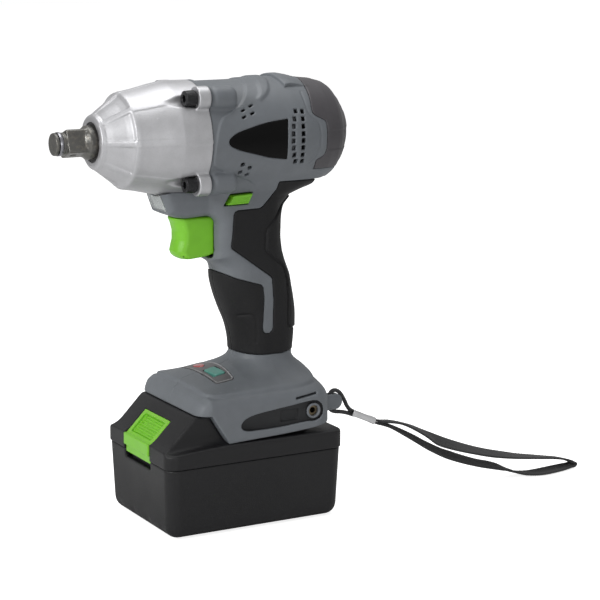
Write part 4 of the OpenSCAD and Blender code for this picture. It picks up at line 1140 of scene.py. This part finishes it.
# (x, z): from the clamp over the top of the lug, down through its slot and back
CORD = [(-70.5, 53.1), (-68.2, 54.4), (-66.0, 57.0), (-63.9, 61.2), (-61.2, 65.2),
        (-58.2, 66.9), (-55.6, 66.2), (-54.5, 63.4), (-54.5, 59.6), (-55.3, 56.2),
        (-58.0, 54.7), (-62.0, 54.0), (-66.0, 52.9), (-70.5, 51.1)]
# (x, y, z, roll in degrees): from the clamp round the far end of the loop and back
WEBBING = [
    (-82.6, 22, 47.6, 0), (-85.2, 22, 46.4, 0), (-88.2, 22, 45.2, -3), (-95.7, 22, 44.0, -4),
    (-102.4, 22, 42.1, -2), (-111.0, 22, 38.3, 9), (-118.8, 22, 34.0, 18),
    (-126.7, 22, 29.4, 33), (-134.6, 22, 26.0, 31), (-142.5, 22, 23.1, 27),
    (-150.5, 22, 20.4, 22), (-158.5, 22, 17.9, 19), (-166.6, 22, 15.7, 16),
    (-176.8, 22, 13.4, 11), (-187.1, 22, 11.3, 4), (-197.4, 22, 9.6, -1),
    (-207.9, 22, 7.8, -6), (-215.2, 22, 6.4, -7), (-222.0, 22, 4.3, -5),
    (-224.9, 22.2, 2.9, -2), (-225.4, 22.4, 2.0, 0), (-224.0, 22.6, 1.15, 1),
    (-220.5, 23.0, 1.1, 0), (-214.0, 24.6, 1.2, -4), (-205, 26.4, 1.4, -6),
    (-198.1, 26.6, 1.3, -5), (-191.7, 25.2, 1.2, 0), (-186.4, 22.9, 1.5, 4),
    (-181.2, 22, 2.8, 7), (-177.1, 22, 4.9, 1), (-171.9, 22, 6.8, -11),
    (-165.8, 22, 8.7, -16), (-156.7, 22, 11.2, -18), (-146.7, 22, 14.6, -22),
    (-138.7, 22, 17.7, -25), (-130.8, 22, 21.0, -25), (-120.0, 22, 26.8, -24),
    (-111.2, 22, 32.2, -21), (-100.6, 22, 38.3, -13), (-93.9, 22, 41.7, -5),
    (-88.4, 22, 43.5, 3), (-85.2, 22, 44.7, 0), (-82.6, 22, 46.0, 0)]
WEAVE_PITCH = 1.15                      # length of one woven rib
CORD_ANGLES = np.linspace(0, 2 * np.pi, 36, endpoint=False)
ACROSS = np.linspace(-1, 1, 34)         # points across one face of the webbing
Y_AXIS = np.array([0, 1.0, 0])


def cord_ring(point, s, tangent):
    """Section of a braided cord: two sets of strands twisting opposite ways."""
    normal = np.cross(tangent, Y_AXIS)
    strands = np.maximum(np.sin(CORD_ANGLES * 6 + s * 5.2), np.sin(CORD_ANGLES * 6 - s * 5.2))
    radius = (1.08 + 0.10 * strands)[:, None]
    return point + radius * (np.cos(CORD_ANGLES)[:, None] * normal
                             + np.sin(CORD_ANGLES)[:, None] * Y_AXIS)


def webbing_ring(station, s, tangent, length):
    point, roll = station[:3], math.radians(station[3])
    upright = np.array([tangent[2], 0, -tangent[0]])
    upright /= max(np.linalg.norm(upright), 1e-9)
    level = Y_AXIS - tangent * tangent[1]
    level /= np.linalg.norm(level)
    width_axis = math.cos(roll) * level - math.sin(roll) * upright
    normal = np.cross(tangent, width_axis)
    # the band narrows into the clamp
    half_width = 4.6 * np.interp(min(s, length - s), [0, 3, 14], [0.52, 0.56, 1.0])
    # ribs across the band, broken into warp floats that alternate from rib to rib
    k = s / WEAVE_PITCH
    rib = np.abs(np.cos(np.pi * k))
    warp = 0.5 + 0.5 * np.cos(np.pi * (ACROSS * 9 + np.floor(k + 0.5)))
    edge = np.clip((1 - np.abs(ACROSS)) / 0.12, 0, 1)
    weave = 0.15 * rib * (0.45 + 0.55 * warp) + 0.04 * np.sin(ACROSS * 40)
    height = 0.44 * np.sqrt(1 - (1 - edge) ** 2) + 0.10 + weave * (0.3 + 0.7 * edge)
    half_width = half_width * (1 + 0.012 * rib)
    rise = height[:, None] * normal
    top = point + (ACROSS * half_width)[:, None] * width_axis + rise
    bottom = point + (ACROSS[::-1] * half_width)[:, None] * width_axis - rise[::-1]
    return np.vstack([top, bottom])


def ferrule_field(x, y, z):
    # u runs along the clamp, v out of its top
    u, v = turn(x + 75.9, z - 49.75, 0.9107, -0.4131)
    w = y - STRAP_Y
    flare = smoothstep((np.abs(u) - 5.6) / 1.6) * 0.22
    body = rect(v, w, 1.82 + flare, 3.0 + flare, 1.0)
    # crimped seam on top, and pressed dimples above and below
    body = cut(body, disc(w, v - 2.0, 0.62), 0.25)
    for middle in (-3.0, 3.0):
        dimple = np.sqrt((u - middle) ** 2 * 0.6 + w ** 2 * 0.25
                         + (np.abs(v) - 2.6) ** 2) - 1.15
        body = cut(body, dimple, 0.4)
    body = both(body, np.abs(u) - 8.1, 0.3)
    return cut(body, rect(v, w, 1.28, 2.55, 0.6), 0.12)


cord = even_stations(spline([(x, STRAP_Y, z) for x, z in CORD], 10), 0.16)
add_sweep("strap_cord", [cord_ring(*station) for station in zip(*cord)], "cord_nylon")
webbing = even_stations(spline(WEBBING, 12), 0.26)
webbing_length = webbing[1][-1]
add_sweep("strap_webbing",
          [webbing_ring(*station, webbing_length) for station in zip(*webbing)],
          "webbing_nylon")
add_solid("strap_ferrule", ferrule_field, [-85, 18, 44], [-67, 26, 56], 0.26, "clamp_metal",
          reach=1.6, body="strap", slot="chrome_steel")


# ---------------------------------------------------------------- stage, in metres
def stage_object(name, data):
    obj = bpy.data.objects.new(name, data)
    bpy.context.scene.collection.objects.link(obj)
    return obj


def map_range(tree, value, low, high):
    inputs = {"Value": value, "To Min": low, "To Max": high}
    return add_node(tree, "MapRange", inputs).outputs["Result"]


def add_floor(half=6.0, level=-0.0004):
    mesh = bpy.data.meshes.new("floor")
    mesh.from_pydata([(-half, -half, level), (half, -half, level), (half, half, level),
                      (-half, half, level)], [], [(0, 1, 2, 3)])
    floor = stage_object("floor", mesh)
    white = material("floor_paint", colour=(0.9, 0.9, 0.9), rough=0.55, grain=60, bump=2e-5,
                     vary=0.01)
    # glows for the camera only, so the floor fades into the backdrop
    tree = white.node_tree
    to_camera = add_node(tree, "LightPath", {}).outputs["Is Camera Ray"]
    fill(tree, tree.nodes["Principled BSDF"], {
        "Emission Color": (1, 1, 1, 1),
        "Emission Strength": map_range(tree, to_camera, 0.0, 0.82)})
    mesh.materials.append(white)


def add_world():
    """White backdrop for the camera, dimmer in reflections and dimmest as a light."""
    world = bpy.data.worlds.new("studio")
    bpy.context.scene.world = world
    world.use_nodes = True
    tree = world.node_tree
    path = add_node(tree, "LightPath", {}).outputs
    glossy_share = 0.42
    seen = add_node(tree, "Math", {0: path["Is Glossy Ray"], 1: glossy_share,
                                   2: path["Is Camera Ray"]}, operation="MULTIPLY_ADD")
    fill(tree, tree.nodes["Background"], {
        "Color": (1, 1, 1, 1), "Strength": map_range(tree, seen.outputs[0], 0.2, 1.0)})


def add_lamp(name, place, target, size, watts, size_y=None):
    light = bpy.data.lights.new(name, "AREA")
    light.energy = watts
    light.size = size
    if size_y:
        light.shape = "RECTANGLE"
        light.size_y = size_y
    lamp = stage_object(name, light)
    lamp.location = place
    aim = Vector(target) - Vector(place)
    lamp.rotation_euler = aim.to_track_quat("-Z", "Y").to_euler()


def add_camera(target, distance, azimuth, elevation):
    """azimuth is measured from +Y toward +X, elevation from level, both in degrees."""
    data = bpy.data.cameras.new("photo_cam")
    camera = stage_object("photo_cam", data)
    around_z, above = math.radians(azimuth), math.radians(elevation)
    back = Vector((math.sin(around_z) * math.cos(above),
                   math.cos(around_z) * math.cos(above), math.sin(above)))
    right = Vector((-math.cos(around_z), math.sin(around_z), 0))
    turned = Matrix((right, back.cross(right), back)).transposed().to_4x4()
    camera.matrix_world = Matrix.Translation(Vector(target) + back * distance) @ turned
    data.sensor_width = 36.0
    data.lens = 115.65
    data.shift_x = 0.0891833
    data.shift_y = -0.00431667
    data.clip_start = 0.05
    data.clip_end = 50
    bpy.context.scene.camera = camera


add_floor()
add_world()
add_lamp("key", place=(1.35, 0.35, 0.75), target=(0, 0, 0.14), size=0.5, watts=11)
add_lamp("top", place=(-0.05, -0.15, 1.4), target=(0, 0, 0.1), size=1.0, watts=11)
add_lamp("fill", place=(0.35, 1.45, 0.42), target=(0.02, 0, 0.17), size=0.7, watts=3.0,
         size_y=0.4)
add_camera(target=(-0.01385, 0, 0.120), distance=1.0658, azimuth=28.170, elevation=11.163)
bpy.context.scene.view_settings.view_transform = "Standard"
